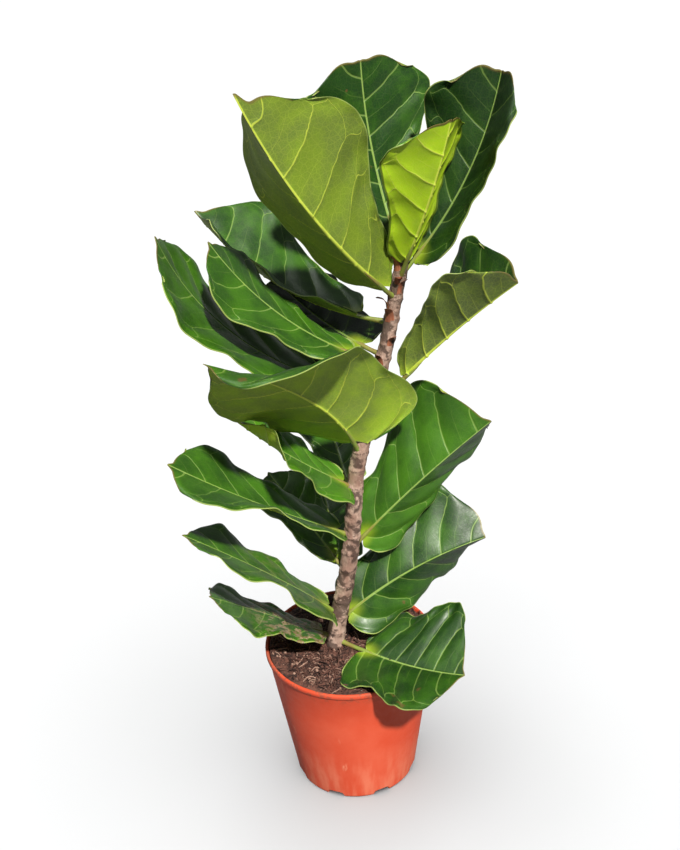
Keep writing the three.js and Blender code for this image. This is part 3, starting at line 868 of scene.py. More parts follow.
class GeometryTrees:
    """Geometry Nodes trees of the plant: one sweeps a stem or stalk, the others scatter bits."""

    def __init__(self) -> None:
        """Build the trees once."""
        self.sweep = self._sweep()
        self.scatter = {shape: self._scatter(shape) for shape in Bits}

    @staticmethod
    def _start(name: str, inputs: dict[str, str]) -> tuple[
            bpy.types.NodeTree, Graph, bpy.types.Node, bpy.types.Node]:
        """Empty tree with Geometry in and out and named inputs.

        Args:
            name: the tree's name.
            inputs: socket type of each named input.

        Returns:
            The tree, its graph, its input node and its output node.
        """
        tree = bpy.data.node_groups.new(name, "GeometryNodeTree")
        tree.interface.new_socket("Geometry", in_out="INPUT", socket_type="NodeSocketGeometry")
        for label, kind in inputs.items():
            tree.interface.new_socket(label, in_out="INPUT", socket_type=kind)
        tree.interface.new_socket("Geometry", in_out="OUTPUT", socket_type="NodeSocketGeometry")
        graph = Graph(tree)
        return tree, graph, graph.add("NodeGroupInput"), graph.add("NodeGroupOutput")

    @staticmethod
    def _finish(graph: Graph, start: bpy.types.Node, end: bpy.types.Node,
                shape: bpy.types.NodeSocket) -> None:
        """Realize the shape, give it its material and put it out.

        Args:
            graph: the tree's graph.
            start: its input node, with a Finish socket.
            end: its output node.
            shape: the geometry so far.
        """
        real = graph.add("GeometryNodeRealizeInstances", {"Geometry": shape})
        dressed = graph.add("GeometryNodeSetMaterial", {
            "Geometry": real.outputs[0], "Material": start.outputs["Finish"]})
        graph.feed(end.inputs["Geometry"], dressed.outputs[0])

    @classmethod
    def _sweep(cls) -> bpy.types.NodeTree:
        """Round tube along a path of points, each with its own girth, with a rough surface.

        Returns:
            The tree.
        """
        tree, graph, start, end = cls._start("swept_stem", {
            "Sides": "NodeSocketInt", "Relief": "NodeSocketFloat",
            "Relief scale": "NodeSocketFloat", "Finish": "NodeSocketMaterial"})
        girth = graph.add("GeometryNodeInputNamedAttribute", {"Name": "girth"},
                          data_type="FLOAT")
        path = graph.add("GeometryNodeMeshToCurve", {"Mesh": start.outputs["Geometry"]})
        ring = graph.add("GeometryNodeCurvePrimitiveCircle", {
            "Resolution": start.outputs["Sides"], "Radius": 1.0})
        tube = graph.add("GeometryNodeCurveToMesh", {
            "Curve": path.outputs[0], "Profile Curve": ring.outputs[0],
            "Scale": girth.outputs[0], "Fill Caps": True})
        noise = graph.add("ShaderNodeTexNoise", {
            "Scale": start.outputs["Relief scale"], "Detail": 2.0})
        lift = graph.math("MULTIPLY", graph.math("SUBTRACT", noise.outputs["Fac"], 0.5),
                          start.outputs["Relief"])
        out = graph.add("ShaderNodeVectorMath", {
            0: graph.add("GeometryNodeInputNormal").outputs[0], "Scale": lift},
            operation="SCALE")
        rough = graph.add("GeometryNodeSetPosition", {
            "Geometry": tube.outputs[0], "Offset": out.outputs[0]})
        smooth = graph.add("GeometryNodeSetShadeSmooth", {"Geometry": rough.outputs[0]})
        cls._finish(graph, start, end, smooth.outputs[0])
        return tree

    @staticmethod
    def _bit(graph: Graph, shape: Bits) -> bpy.types.NodeSocket:
        """Unit shape of one scattered bit.

        Args:
            graph: the tree's graph.
            shape: which bit.

        Returns:
            Its geometry.
        """
        if shape is Bits.FIBRE:
            arc = graph.add("GeometryNodeCurveQuadraticBezier", {
                "Resolution": 4, "Start": (-0.5, 0.0, 0.0), "Middle": (0.05, 0.3, 0.12),
                "End": (0.5, -0.05, 0.02)})
            ring = graph.add("GeometryNodeCurvePrimitiveCircle", {"Resolution": 3,
                                                                  "Radius": 0.035})
            return graph.add("GeometryNodeCurveToMesh", {
                "Curve": arc.outputs[0], "Profile Curve": ring.outputs[0],
                "Fill Caps": True}).outputs[0]
        ball = graph.add("GeometryNodeMeshIcoSphere", {
            "Radius": 0.5, "Subdivisions": 1 if shape is Bits.CRUMB else 2})
        return ball.outputs[0]

    @classmethod
    def _scatter(cls, shape: Bits) -> bpy.types.NodeTree:
        """Bits scattered over a mesh, each with a random turn, size and tone.

        Args:
            shape: which bit.

        Returns:
            The tree.
        """
        tree, graph, start, end = cls._start(f"scattered_{shape.value}", {
            "Density": "NodeSocketFloat", "Seed": "NodeSocketInt", "Smallest": "NodeSocketFloat",
            "Largest": "NodeSocketFloat", "Turn": "NodeSocketVector",
            "Proportion": "NodeSocketVector", "Finish": "NodeSocketMaterial"})
        spots = graph.add("GeometryNodeDistributePointsOnFaces", {
            "Mesh": start.outputs["Geometry"], "Density": start.outputs["Density"],
            "Seed": start.outputs["Seed"]})
        turn = graph.add("FunctionNodeRandomValue", data_type="FLOAT_VECTOR")
        graph.feed(turn.inputs[1], start.outputs["Turn"])
        graph.feed(turn.inputs["Seed"], 11)
        own = graph.add("FunctionNodeEulerToRotation", {0: turn.outputs[0]})
        facing = graph.add("FunctionNodeRotateRotation", {
            0: spots.outputs["Rotation"], 1: own.outputs[0]}, rotation_space="LOCAL")
        size = graph.add("FunctionNodeRandomValue", data_type="FLOAT")
        graph.feed(size.inputs[2], start.outputs["Smallest"])
        graph.feed(size.inputs[3], start.outputs["Largest"])
        graph.feed(size.inputs["Seed"], 12)
        scale = graph.add("ShaderNodeVectorMath", {
            0: start.outputs["Proportion"], "Scale": size.outputs[1]}, operation="SCALE")
        placed = graph.add("GeometryNodeInstanceOnPoints", {
            "Points": spots.outputs["Points"], "Instance": cls._bit(graph, shape),
            "Rotation": facing.outputs[0], "Scale": scale.outputs[0]})
        tone = graph.add("FunctionNodeRandomValue", data_type="FLOAT")
        graph.feed(tone.inputs["Seed"], 13)
        toned = graph.add("GeometryNodeStoreNamedAttribute", {
            "Geometry": placed.outputs[0], "Name": "tone"}, data_type="FLOAT",
            domain="INSTANCE")
        graph.feed(toned.inputs["Value"], tone.outputs[1])
        cls._finish(graph, start, end, toned.outputs[0])
        return tree

    @staticmethod
    def run(tree: bpy.types.NodeTree, carrier: bpy.types.Object, name: str,
            values: dict[str, object]) -> bpy.types.Object:
        """Run a tree on a carrier object and keep the result as a plain mesh object.

        Args:
            tree: the Geometry Nodes tree.
            carrier: the object that gives it its geometry, removed afterwards.
            name: name of the new object.
            values: the tree's named inputs.

        Returns:
            The new object.
        """
        modifier = carrier.modifiers.new(name, "NODES")
        modifier.node_group = tree
        for item in tree.interface.items_tree:
            if item.item_type == "SOCKET" and item.in_out == "INPUT" and item.name in values:
                modifier[item.identifier] = values[item.name]
        graph = bpy.context.evaluated_depsgraph_get()
        mesh = bpy.data.meshes.new_from_object(carrier.evaluated_get(graph), depsgraph=graph)
        mesh.name = name
        carrier.modifiers.remove(modifier)
        bpy.data.objects.remove(carrier)
        thing = bpy.data.objects.new(name, mesh)
        bpy.context.scene.collection.objects.link(thing)
        return thing


@dataclass
class Workshop:
    """What every sub-assembly is made with: the node trees and the finished materials."""

    effects: SharedEffects = field(default_factory=SharedEffects)
    trees: GeometryTrees = field(default_factory=GeometryTrees)
    made: list[bpy.types.Object] = field(default_factory=list)

    def tube(self, name: str, path: Array, girth: Array, sides: int, relief: float,
             scale: float, material: bpy.types.Material) -> bpy.types.Object:
        """Sweep a tube along a path.

        Args:
            name: the object's name.
            path: points in millimetres.
            girth: radius at each point in millimetres.
            sides: sides round the tube.
            relief: height of its roughness in millimetres.
            scale: how many bumps in a metre.
            material: its material.

        Returns:
            The object.
        """
        mesh = bpy.data.meshes.new(name + "_path")
        edges = [(i, i + 1) for i in range(len(path) - 1)]
        mesh.from_pydata((path * MM).tolist(), edges, [])
        store(mesh, "girth", girth * MM)
        carrier = bpy.data.objects.new(name + "_path", mesh)
        bpy.context.scene.collection.objects.link(carrier)
        return self.trees.run(self.trees.sweep, carrier, name, {
            "Sides": sides, "Relief": relief * MM, "Relief scale": scale, "Finish": material})

    def finish(self, piece: bpy.types.Object, slot: str, *nodes: str) -> None:
        """Tie a finished piece to the frame and report it.

        Args:
            piece: the piece.
            slot: not used.
            *nodes: the CAD nodes that it stands for.
        """
        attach(piece, "root")
        if nodes:
            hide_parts(*nodes)
        self.made.append(piece)
        log.info("%s: %d points, %d faces", piece.name, len(piece.data.vertices),
                 len(piece.data.polygons))


# ---------------------------------------------------------------------------------------------
# Sub-assemblies
# ---------------------------------------------------------------------------------------------


@dataclass(frozen=True)
class StemPath:
    """Line of the stem: it stands in the soil, then leans to the right. Points in mm."""

    points: tuple[tuple[float, float, float], ...] = (
        (-20, 0, 140), (-20, 0, 180), (-20, 0, 210), (-13, 0, 259), (-2, 0, 310), (9, 0, 375),
        (15, 0, 430), (22, 0, 492), (37, 2, 556), (67, 6, 669), (82, 8, 741), (92, 10, 790),
    )

    def centre(self, height: float) -> Array:
        """Straight-line centre of the stem at a height.

        Args:
            height: height in millimetres.

        Returns:
            The point.
        """
        line = np.array(self.points, dtype=float)
        return np.array([np.interp(height, line[:, 2], line[:, 0]),
                         np.interp(height, line[:, 2], line[:, 1]), height])

    def smooth(self, steps: int) -> Array:
        """Points at even steps of height down a smooth curve through the stem's points.

        Args:
            steps: how many points.

        Returns:
            The points.
        """
        line = np.array(self.points, dtype=float)
        heights = np.linspace(line[0, 2], line[-1, 2], steps)
        return np.column_stack([smooth_curve(line[:, 2], line[:, :2], heights), heights])


@dataclass(frozen=True)
class LeafShape:
    """Size and set of one leaf, in mm and degrees, as in the solid that it covers.

    A leaf grows from the stem at a height, with a heading and a rise. Along the blade it bends
    upwards and sweeps to the left, and the whole of it is rolled about its midrib. Its left and
    right halves are folded up by three angles each, at the base, the middle and the tip, and
    curve up by the cup. Lobe, mid, full and notch change the outline near the base, in the
    middle, near the tip and in the tip's edge, and point draws the tip out. Age runs from 0 for
    dark green to 1 for fresh yellow-green, veins is their count on each half, scars the share
    of the surface that is scuffed, and the last field the share of painted shade that darkens
    the whole leaf, above and below, as if it stood in shade.
    """

    at: float
    heading: float
    rise: float
    bend: float
    sweep: float
    roll: float
    length: float
    width: float
    petiole: float
    left: tuple[float, float, float]
    right: tuple[float, float, float]
    cup: float = 5.0
    wave: float = 4.0
    lobe: float = 0.0
    mid: float = 0.0
    full: float = 0.0
    notch: float = 0.0
    age: float = 0.35
    veins: float = 5.0
    scars: float = 0.0
    point: float = 0.03
    # Share of painted shade that darkens the whole leaf as if it stood in shade.
    painted_shade: float = 0.0


# Some leaves end with a share of painted shade, which darkens them as if they stood in shade.
LEAVES = (
    LeafShape(218, 324, -2, 16, 6, 22, 148, 200, 50, (-10, 14, 10), (22, 35, 26),
              -5, 3, lobe=0.4, age=0.08),
    LeafShape(222, 190, 32, 0, 3, 12, 165, 155, 30, (-5, -5, -5), (-5, -5, -5),
              5, 4, age=0.35, scars=0.9),
    LeafShape(248, 5, 40, -28, 5, 50, 207, 170, 25, (0, 0, 0), (0, -60, -90),
              0, 5, full=0.45, notch=0.05, age=0.1),
    LeafShape(262, 205, 48, -14, -20, 0, 235, 115, 30, (-15, 10, 10), (0, 0, 0),
              5, 6, lobe=0.9, age=0.35, scars=0.15),
    LeafShape(325, 100, 12, 10, 0, 0, 140, 110, 30, (8, 8, 8), (8, 8, 8),
              5, 4, age=0.3),
    LeafShape(330, 130, 30, 0, 0, 0, 150, 100, 30, (10, 10, 10), (10, 10, 10),
              5, 4, age=0.35),
    LeafShape(368, 5, 46, -8, 0, 60, 225, 195, 28, (-30, -15, 10), (-30, -70, -85),
              0, 4, full=0.3, age=0.45),
    LeafShape(392, 200, 32, 6, -10, 0, 245, 125, 30, (0, 20, -20), (5, 15, 15),
              5, 4, lobe=0.5, full=0.1, age=0.35),
    LeafShape(440, 102, 20, 10, 0, 0, 140, 100, 40, (8, 8, 8), (8, 8, 8),
              5, 4, age=0.3),
    LeafShape(465, 203, 38, 6, -22, 0, 165, 150, 25, (-10, 4, 40), (5, 5, 5),
              5, 5, lobe=0.5, age=0.7),
    LeafShape(515, 240, 58, -34, -48, 50, 265, 210, 34, (-12, 8, -60), (50, 12, 5),
              0, 3, lobe=0.8, full=-0.4, age=0.4),
    LeafShape(652, 139, 10, 24, 0, -6, 150, 150, 38, (-20, 12, 12), (-5, -5, -5),
              5, 2, lobe=0.5, age=0, painted_shade=0.8),
    LeafShape(600, 180, 22, 50, 6, -10, 275, 185, 70, (15, 8, 0), (-10, -10, -10),
              5, 4, lobe=0.4, age=0.4),
    LeafShape(576, 342, 49, -10, 4, 0, 180, 180, 78, (10, 35, 45), (112, 60, 50),
              5, 2, lobe=-0.6, full=0.3, notch=0.06, age=0.1, painted_shade=0.4),
    LeafShape(640, 190, 30, 28, -20, -15, 215, 130, 50, (5, 0, 0), (-5, -12, -20),
              5, 4, age=0.3),
    LeafShape(696, 145, 0, 46, 4, -20, 250, 190, 60, (55, 60, 60), (0, 0, 0),
              5, 4, lobe=-0.3, age=0.2),
    LeafShape(728, 232, 42, 24, -28, 58, 310, 182, 40, (28, 20, 20), (48, 54, 80),
              5, 2, lobe=-0.2, mid=0.25, full=0.1, notch=0.03, age=0.45, point=0.07, painted_shade=0.35),
    LeafShape(750, 300, 60, 17, 34, -20, 184, 150, 42, (40, 40, 20), (10, 10, 10),
              5, 2, lobe=-0.4, full=0.2, notch=0.02, age=0.95),
    LeafShape(755, 2, 50, 28, 10, 50, 226, 150, 38, (10, 10, 25), (0, 48, 48),
              5, 2, lobe=-0.4, full=0.3, notch=0.06, age=0, painted_shade=0.4),
    LeafShape(775, 122, 62, 26, 10, -5, 203, 185, 30, (0, 0, 0), (0, 0, 0),
              5, 1.5, lobe=-0.4, full=0.3, notch=0.05, age=0.05),
)


@dataclass
class Leaf:
    """One leaf: a thin blade with raised and sunken veins, on its own stalk. Sizes in mm.

    The outline is the half-width at outline_at, both as shares of the blade's own sizes.
    """

    name: str
    shape: LeafShape
    stem: StemPath
    order: int
    thickness: float = 0.9
    rows: int = 117
    columns: int = 85
    waves: float = 2.5
    ruffles: float = 6.5
    ruffle_height: float = 1.1
    pucker: float = 2.6
    puckered_width: float = 185.0
    curl: float = 2.6
    vein_sunk: float = 0.5
    rib_sunk: float = 0.6
    vein_raised: float = 1.2
    stalk_sides: int = 14
    stalk_relief: float = 0.35
    stalk_bumps_per_m: float = 220.0
    outline_at: tuple[float, ...] = (0, 0.06, 0.15, 0.3, 0.45, 0.6, 0.7, 0.78, 0.88, 0.95, 1)
    outline: tuple[float, ...] = (0.4, 0.53, 0.6, 0.62, 0.73, 0.9, 0.98, 1, 0.9, 0.73, 0.55)

    def forward(self, at: Array) -> Array:
        """Direction of the midrib.

        Args:
            at: distances along it, in blade lengths.

        Returns:
            One direction for each distance.
        """
        turn = np.radians(self.shape.heading + self.shape.sweep * np.maximum(at, 0))
        lift = np.radians(self.shape.rise + self.shape.bend * np.maximum(at, 0))
        return np.stack([np.cos(lift) * np.cos(turn), np.cos(lift) * np.sin(turn),
                         np.sin(lift)], axis=-1)

    def stations(self, at: Array) -> tuple[Array, Array, Array]:
        """Midrib points with the blade's left-hand and upward directions.

        Args:
            at: distances along the midrib, in blade lengths.

        Returns:
            Points, left-hand directions and upward directions.
        """
        shape, step = self.shape, 0.02
        start = self.stem.centre(shape.at) + self.forward(np.zeros(1))[0] * shape.petiole
        moves = self.forward((np.arange(60) + 0.5) * step) * step * shape.length
        line = np.vstack([start, start + np.cumsum(moves, axis=0)])
        place = np.clip(at, 0, 1.19) / step
        spot = np.floor(place).astype(int)
        share = (place - spot)[..., None]
        points = line[spot] * (1 - share) + line[spot + 1] * share
        ahead = self.forward(at)
        points = points + ahead * (np.minimum(at, 0) * shape.length)[..., None]
        turn = np.radians(shape.heading + shape.sweep * np.maximum(at, 0))
        level = np.stack([-np.sin(turn), np.cos(turn), np.zeros_like(turn)], axis=-1)
        roll = math.radians(shape.roll)
        left = level * math.cos(roll) + np.cross(ahead, level) * math.sin(roll)
        return points, left, np.cross(ahead, left)

    def half_width(self, along: Array) -> Array:
        """Half-width of the blade.

        Args:
            along: 0 at its base to 1 at its tip.

        Returns:
            Half-widths in millimetres.
        """
        width = smooth_curve(np.array(self.outline_at), np.array(self.outline), along)
        foot = np.clip(along / 0.08, 0, 1)
        width = width * (0.45 + 0.55 * np.sqrt(1 - (1 - foot) ** 2))
        middle = 1 + self.shape.mid * (4 * along * (1 - along)) ** 2
        return (0.5 * self.shape.width * width * middle * (1 + self.shape.full * along ** 6)
                * (1 + self.shape.lobe * (1 - along) ** 2))

    def surface(self, along: Array, across: Array) -> Array:
        """Points of the blade's middle surface.

        Args:
            along: 0 at its base to 1 at its tip.
            across: -1 at the right margin to 1 at the left one.

        Returns:
            The points in millimetres.
        """
        shape, out = self.shape, np.abs(across)
        lobes = -0.06 * (1 - along) ** 4 * np.sin(0.75 * np.pi * out)
        apex = (-0.07 * along ** 10 * out ** 2
                + shape.point * along ** 12 * np.exp(-((across / 0.12) ** 2)))
        dip = shape.notch * along ** 8 * np.sin(np.pi * np.minimum(1.1 * out, 1))
        centre, left, up = self.stations(along + lobes + apex + dip)
        reach = out * self.half_width(along)
        folds = [fold[0] * (1 - along) * (1 - 2 * along) + fold[1] * 4 * along * (1 - along)
                 + fold[2] * along * (2 * along - 1) for fold in (shape.left, shape.right)]
        fold = np.radians(np.where(across > 0, folds[0], folds[1]))
        curve = math.radians(shape.cup + 0.01) / (0.5 * shape.width)
        edge = fold + curve * reach
        phase = np.where(across > 0, 0.0, 2.2)
        wave = shape.wave * out ** 2 * np.sin(2 * np.pi * self.waves * along + phase)
        turn = 2 * np.pi * self.ruffles * along + phase * 2 + self.order
        ruffle = self.ruffle_height * out ** 4 * np.sin(turn)
        wave = wave + ruffle * ease(along, 0.0, 0.1)
        sideways = (np.sin(edge) - np.sin(fold)) / curve - wave * np.sin(edge)
        upwards = (np.cos(fold) - np.cos(edge)) / curve + wave * np.cos(edge)
        return (centre + left * (np.sign(across) * sideways)[..., None]
                + up * upwards[..., None])

    def relief(self, along: Array, across: Array) -> tuple[Array, Array, Array]:
        """Height of the blade's puckers, and how far its veins sink above and stand out below.

        Args:
            along: 0 at its base to 1 at its tip.
            across: -1 at the right margin to 1 at the left one.

        Returns:
            Pucker, sunken depth above and raised height below, in millimetres.
        """
        shape, out = self.shape, np.abs(across)
        turn = VEINS.turn(along, across, shape.veins)
        near = np.abs(turn - np.round(turn))
        fork = 0.5 * ease(out, VEINS.fork_from, VEINS.fork_to)
        gap = np.abs(near - fork) * VEINS.veined * shape.length / shape.veins
        lived = ease(turn, -0.5, -0.3) * (1 - ease(out, 0.9, 0.98)) * (1 - ease(along, 0.93, 1))
        side = np.exp(-((gap / 1.3) ** 2)) * lived * (1 - 0.5 * out)
        window = ease(out, 0.02, 0.25) * (1 - ease(out, 0.78, 1)) * (1 - ease(along, 0.88, 1))
        swell = np.sin(np.pi * np.clip(near, 0, 0.5)) ** 2
        depth = self.pucker * (shape.width / self.puckered_width) ** 2
        pucker = depth * window * (swell ** 0.6 - 0.5) * ease(turn, -0.9, 0)
        pucker = pucker - self.curl * ease(out, 0.86, 1.04) ** 1.5
        away = out * self.half_width(along)
        rib = 2.6 - 1.7 * along
        bulge = np.sqrt(np.clip(1 - (away / rib) ** 2, 0, 1))
        sunk = self.vein_sunk * side + self.rib_sunk * np.exp(-((away / 1.8) ** 2))
        raised = self.vein_raised * side + (2.4 - 1.7 * along) * bulge
        return pucker, sunk, raised

    def build_blade(self, material: bpy.types.Material) -> bpy.types.Object:
        """Mesh of the blade.

        Args:
            material: the leaf's material.

        Returns:
            The blade's object.
        """
        span = np.linspace(-1, 1, self.columns)
        span = span * (0.45 + 1.425 * span ** 2 - 0.875 * span ** 4)
        steps = np.linspace(0, 1, self.rows)
        steps = steps - 0.1 * np.sin(2 * np.pi * steps) / np.pi
        along, across = np.meshgrid(steps, span, indexing="ij")
        middle = self.surface(along, across)
        down = np.gradient(middle, axis=0)
        over = np.gradient(middle, axis=1)
        normal = np.cross(down, over)
        normal /= np.linalg.norm(normal, axis=-1, keepdims=True)
        pucker, sunk, raised = self.relief(along, across)
        half = 0.5 * self.thickness
        upper = middle + normal * (pucker + half - sunk)[..., None]
        lower = middle + normal * (pucker - half - raised)[..., None]
        points = np.vstack([upper.reshape(-1, 3), lower.reshape(-1, 3)]) * MM
        count = self.rows * self.columns
        faces = grid_faces(self.rows, self.columns, 0)
        faces += grid_faces(self.rows, self.columns, count, flip=True)
        faces += [(a, b, count + b, count + a) for a, b in grid_rim(self.rows, self.columns)]
        blade = make_object(self.name + "_blade", points, faces, material, math.radians(60))
        wide = self.half_width(along)
        out = np.abs(across)
        margin = np.minimum.reduce([(1 - out) * wide, (1 - along) * self.shape.length,
                                    along * self.shape.length + out * 4])
        scars = self.shape.scars * ease(1 - along, 0.2, 0.6)
        place = np.stack([along, across, scars], axis=-1).reshape(-1, 3)
        flat = np.stack([along * self.shape.length, across * wide, margin], axis=-1)
        kind = np.array([self.shape.age, self.shape.length, self.shape.veins])
        store(blade.data, "place", np.vstack([place, place]))
        store(blade.data, "flat", np.tile(flat.reshape(-1, 3), (2, 1)))
        store(blade.data, "kind", np.tile(kind, (2 * count, 1)))
        store(blade.data, "under", np.repeat([0.0, 1.0], count))
        # Share of painted shade for the whole leaf, above and below.
        store(blade.data, "painted_shade", np.full(2 * count, self.shape.painted_shade))
        return blade

    def build_stalk(self, shop: Workshop, material: bpy.types.Material) -> bpy.types.Object:
        """Stalk from inside the stem to under the foot of the blade.

        Args:
            shop: the node trees.
            material: the stalk's material.

        Returns:
            The stalk's object.
        """
        back = -self.shape.petiole / self.shape.length
        at = np.concatenate([np.linspace(back, 0, 14), np.linspace(0.02, 0.16, 7)])
        points, _, up = self.stations(at)
        drop = np.interp(at, [back, -0.03, 0.05, 0.16], [0, 0.9, 1.9, 1.2])
        share = (at - back) / -back
        sag = 1.2 * np.sin(np.pi * np.clip(share, 0, 1))
        girth = np.interp(at, [back, back * 0.75, back * 0.5, 0, 0.06, 0.16],
                          [4.6, 3.6, 2.9, 2.9, 2.2, 1.0])
        path = points - up * drop[:, None] - np.array([0, 0, 1.0]) * sag[:, None]
        return shop.tube(self.name + "_stalk", path, girth, self.stalk_sides, self.stalk_relief,
                         self.stalk_bumps_per_m, material)

    def build(self, shop: Workshop, leaf: bpy.types.Material,
              stalk: bpy.types.Material) -> None:
        """Build the leaf, tie it to the frame and hide the node that it stands for.
            leaf: the blade's material.
            stalk: the stalk's material.
        """
        shop.finish(self.build_blade(leaf), "leaf", self.name)
        shop.finish(self.build_stalk(shop, stalk), "leaf")


@dataclass(frozen=True)
class Scrap:
    """One dry scrap: where it grows from, and its length, width and outward curl."""

    height: float
    heading: float
    length: float
    width: float
    curl: float


SCRAPS = (
    Scrap(640, 250, 24, 11, 24), Scrap(668, 300, 20, 10, 35), Scrap(700, 255, 28, 12, 30),
    Scrap(716, 200, 22, 9, 40), Scrap(735, 310, 26, 12, 28), Scrap(748, 270, 20, 10, 45),
    Scrap(764, 235, 26, 10, 25), Scrap(612, 290, 16, 8, 50), Scrap(580, 262, 14, 8, 45),
)


@dataclass
class Stem:
    """Woody stem with a ring at each node, cork spots, dry scraps and the tip's sheath."""

    path: StemPath
    base_radius: float = 13.0
    tip_radius: float = 8.5
    ring_spacing: float = 26.0
    ring_height: float = 0.8
    plain_top: float = 215.0
    sides: int = 48
    steps: int = 330
    relief: float = 3.2
    bumps_per_m: float = 110.0
    cork_per_m2: float = 12000.0
    cork_smallest: float = 1.1
    cork_largest: float = 2.6
    cork_seed: int = 4
    bud_length: float = 34.0
    bud_radius: float = 6.2
    bud_sides: int = 28
    bud_relief: float = 0.7
    bud_bumps_per_m: float = 160.0
    gap: float = 0.3
    scrap_thickness: float = 0.35

    def radius(self, height: Array) -> Array:
        """Radius of the stem, with its node rings above the soil.

        Args:
            height: heights in millimetres.

        Returns:
            The radii in millimetres.
        """
        top = self.path.points[-1][2]
        share = np.clip((height - self.plain_top) / (top - self.plain_top), 0, 1)
        taper = self.base_radius - self.ring_height
        taper = taper + (self.tip_radius - taper) * share
        ring = np.maximum(0, np.cos(height / self.ring_spacing * 2 * np.pi)) ** 3
        return np.where(height < self.plain_top, self.base_radius,
                        taper + self.ring_height * ring)

    def build_bark(self, shop: Workshop, material: bpy.types.Material) -> bpy.types.Object:
        """Bark-covered stem.

        Args:
            shop: the node trees.
            material: the bark's material.

        Returns:
            The stem's object.
        """
        path = self.path.smooth(self.steps)
        return shop.tube("stem_bark", path, self.radius(path[:, 2]), self.sides, self.relief,
                         self.bumps_per_m, material)

    def build_cork(self, shop: Workshop, bark: bpy.types.Object,
                   material: bpy.types.Material) -> bpy.types.Object:
        """Small raised cork spots over the bark.

        Args:
            shop: the node trees.
            bark: the stem's object, which is copied as the carrier.
            material: the bark's material.

        Returns:
            The spots' object.
        """
        carrier = bpy.data.objects.new("cork_carrier", bark.data.copy())
        bpy.context.scene.collection.objects.link(carrier)
        return shop.trees.run(shop.trees.scatter[Bits.CORK], carrier, "stem_cork", {
            "Density": self.cork_per_m2, "Seed": self.cork_seed,
            "Smallest": self.cork_smallest * MM, "Largest": self.cork_largest * MM,
            "Turn": (0.0, 0.0, FULL_TURN), "Proportion": (1.0, 0.6, 0.45), "Finish": material})

    def tip(self) -> tuple[Array, Array]:
        """Find the top of the stem.

        Returns:
            The top in millimetres, and the direction that it grows in.
        """
        line = np.array(self.path.points, dtype=float)
        ahead = line[-1] - line[-2]
        return line[-1], ahead / np.linalg.norm(ahead)

    def build_bud(self, shop: Workshop, material: bpy.types.Material) -> bpy.types.Object:
        """Pointed sheath at the tip.

        Args:
            shop: the node trees.
            material: the sheath's material.

        Returns:
            The sheath's object.
        """
        foot, ahead = self.tip()
        share = np.linspace(0, 1, 24)
        path = foot + ahead * (self.gap + share * self.bud_length)[:, None]
        path[:, 0] += 1.4 * np.sin(np.pi * share)
        girth = self.bud_radius * np.interp(share, [0, 0.08, 0.25, 0.5, 0.75, 0.93, 1],
                                            [0.7, 0.92, 1, 0.82, 0.46, 0.18, 0.06])
        return shop.tube("tip_sheath", path, girth, self.bud_sides, self.bud_relief,
                         self.bud_bumps_per_m, material)

    def build_scraps(self, material: bpy.types.Material) -> bpy.types.Object:
        """Dry scraps of old sheaths, curled out from the nodes near the top.

        Args:
            material: the sheath's material.

        Returns:
            The scraps' object.
        """
        rows, columns = 10, 7
        points, faces = [], []
        for scrap in SCRAPS:
            foot = self.path.centre(scrap.height)
            round_by = float(self.radius(np.array([scrap.height]))[0]) - 0.2
            layers = [[], []]
            for i in range(rows):
                share = i / (rows - 1)
                spread = scrap.width * (1 - share) ** 0.7 + 0.8
                lift = math.radians(scrap.curl) * share ** 1.5
                for j in range(columns):
                    side = (2 * j / (columns - 1) - 1) * spread / 2
                    turn = math.radians(scrap.heading) + side / round_by
                    away = round_by + scrap.length * share * math.sin(lift)
                    wrinkle = 0.5 * math.sin(side * 1.7 + share * 6) * share
                    for layer, shift in zip(layers, (self.scrap_thickness, 0.0)):
                        reach = away + wrinkle + shift
                        layer.append((foot[0] + reach * math.cos(turn),
                                      foot[1] + reach * math.sin(turn),
                                      scrap.height + scrap.length * share * math.cos(lift)))
            first = len(points)
            count = rows * columns
            points += layers[0] + layers[1]
            faces += grid_faces(rows, columns, first, flip=True)
            faces += grid_faces(rows, columns, first + count)
            faces += [(first + b, first + a, first + count + a, first + count + b)
                      for a, b in grid_rim(rows, columns)]
        return make_object("sheath_scraps", np.array(points) * MM, faces, material,
                           math.radians(60))

    def build(self, shop: Workshop) -> None:
        """Build the stem and what grows on it.

        Args:
            shop: the node trees, materials and list of pieces.
        """
        bark_look = BarkFinish().material(shop.effects)
        sheath_look = SheathFinish().material(shop.effects)
        bark = self.build_bark(shop, bark_look)
        cork = self.build_cork(shop, bark, bark_look)
        shop.finish(bark, "stem", "stem")
        shop.finish(cork, "stem")
        shop.finish(self.build_bud(shop, sheath_look), "bud", "bud")
        shop.finish(self.build_scraps(sheath_look), "bud")


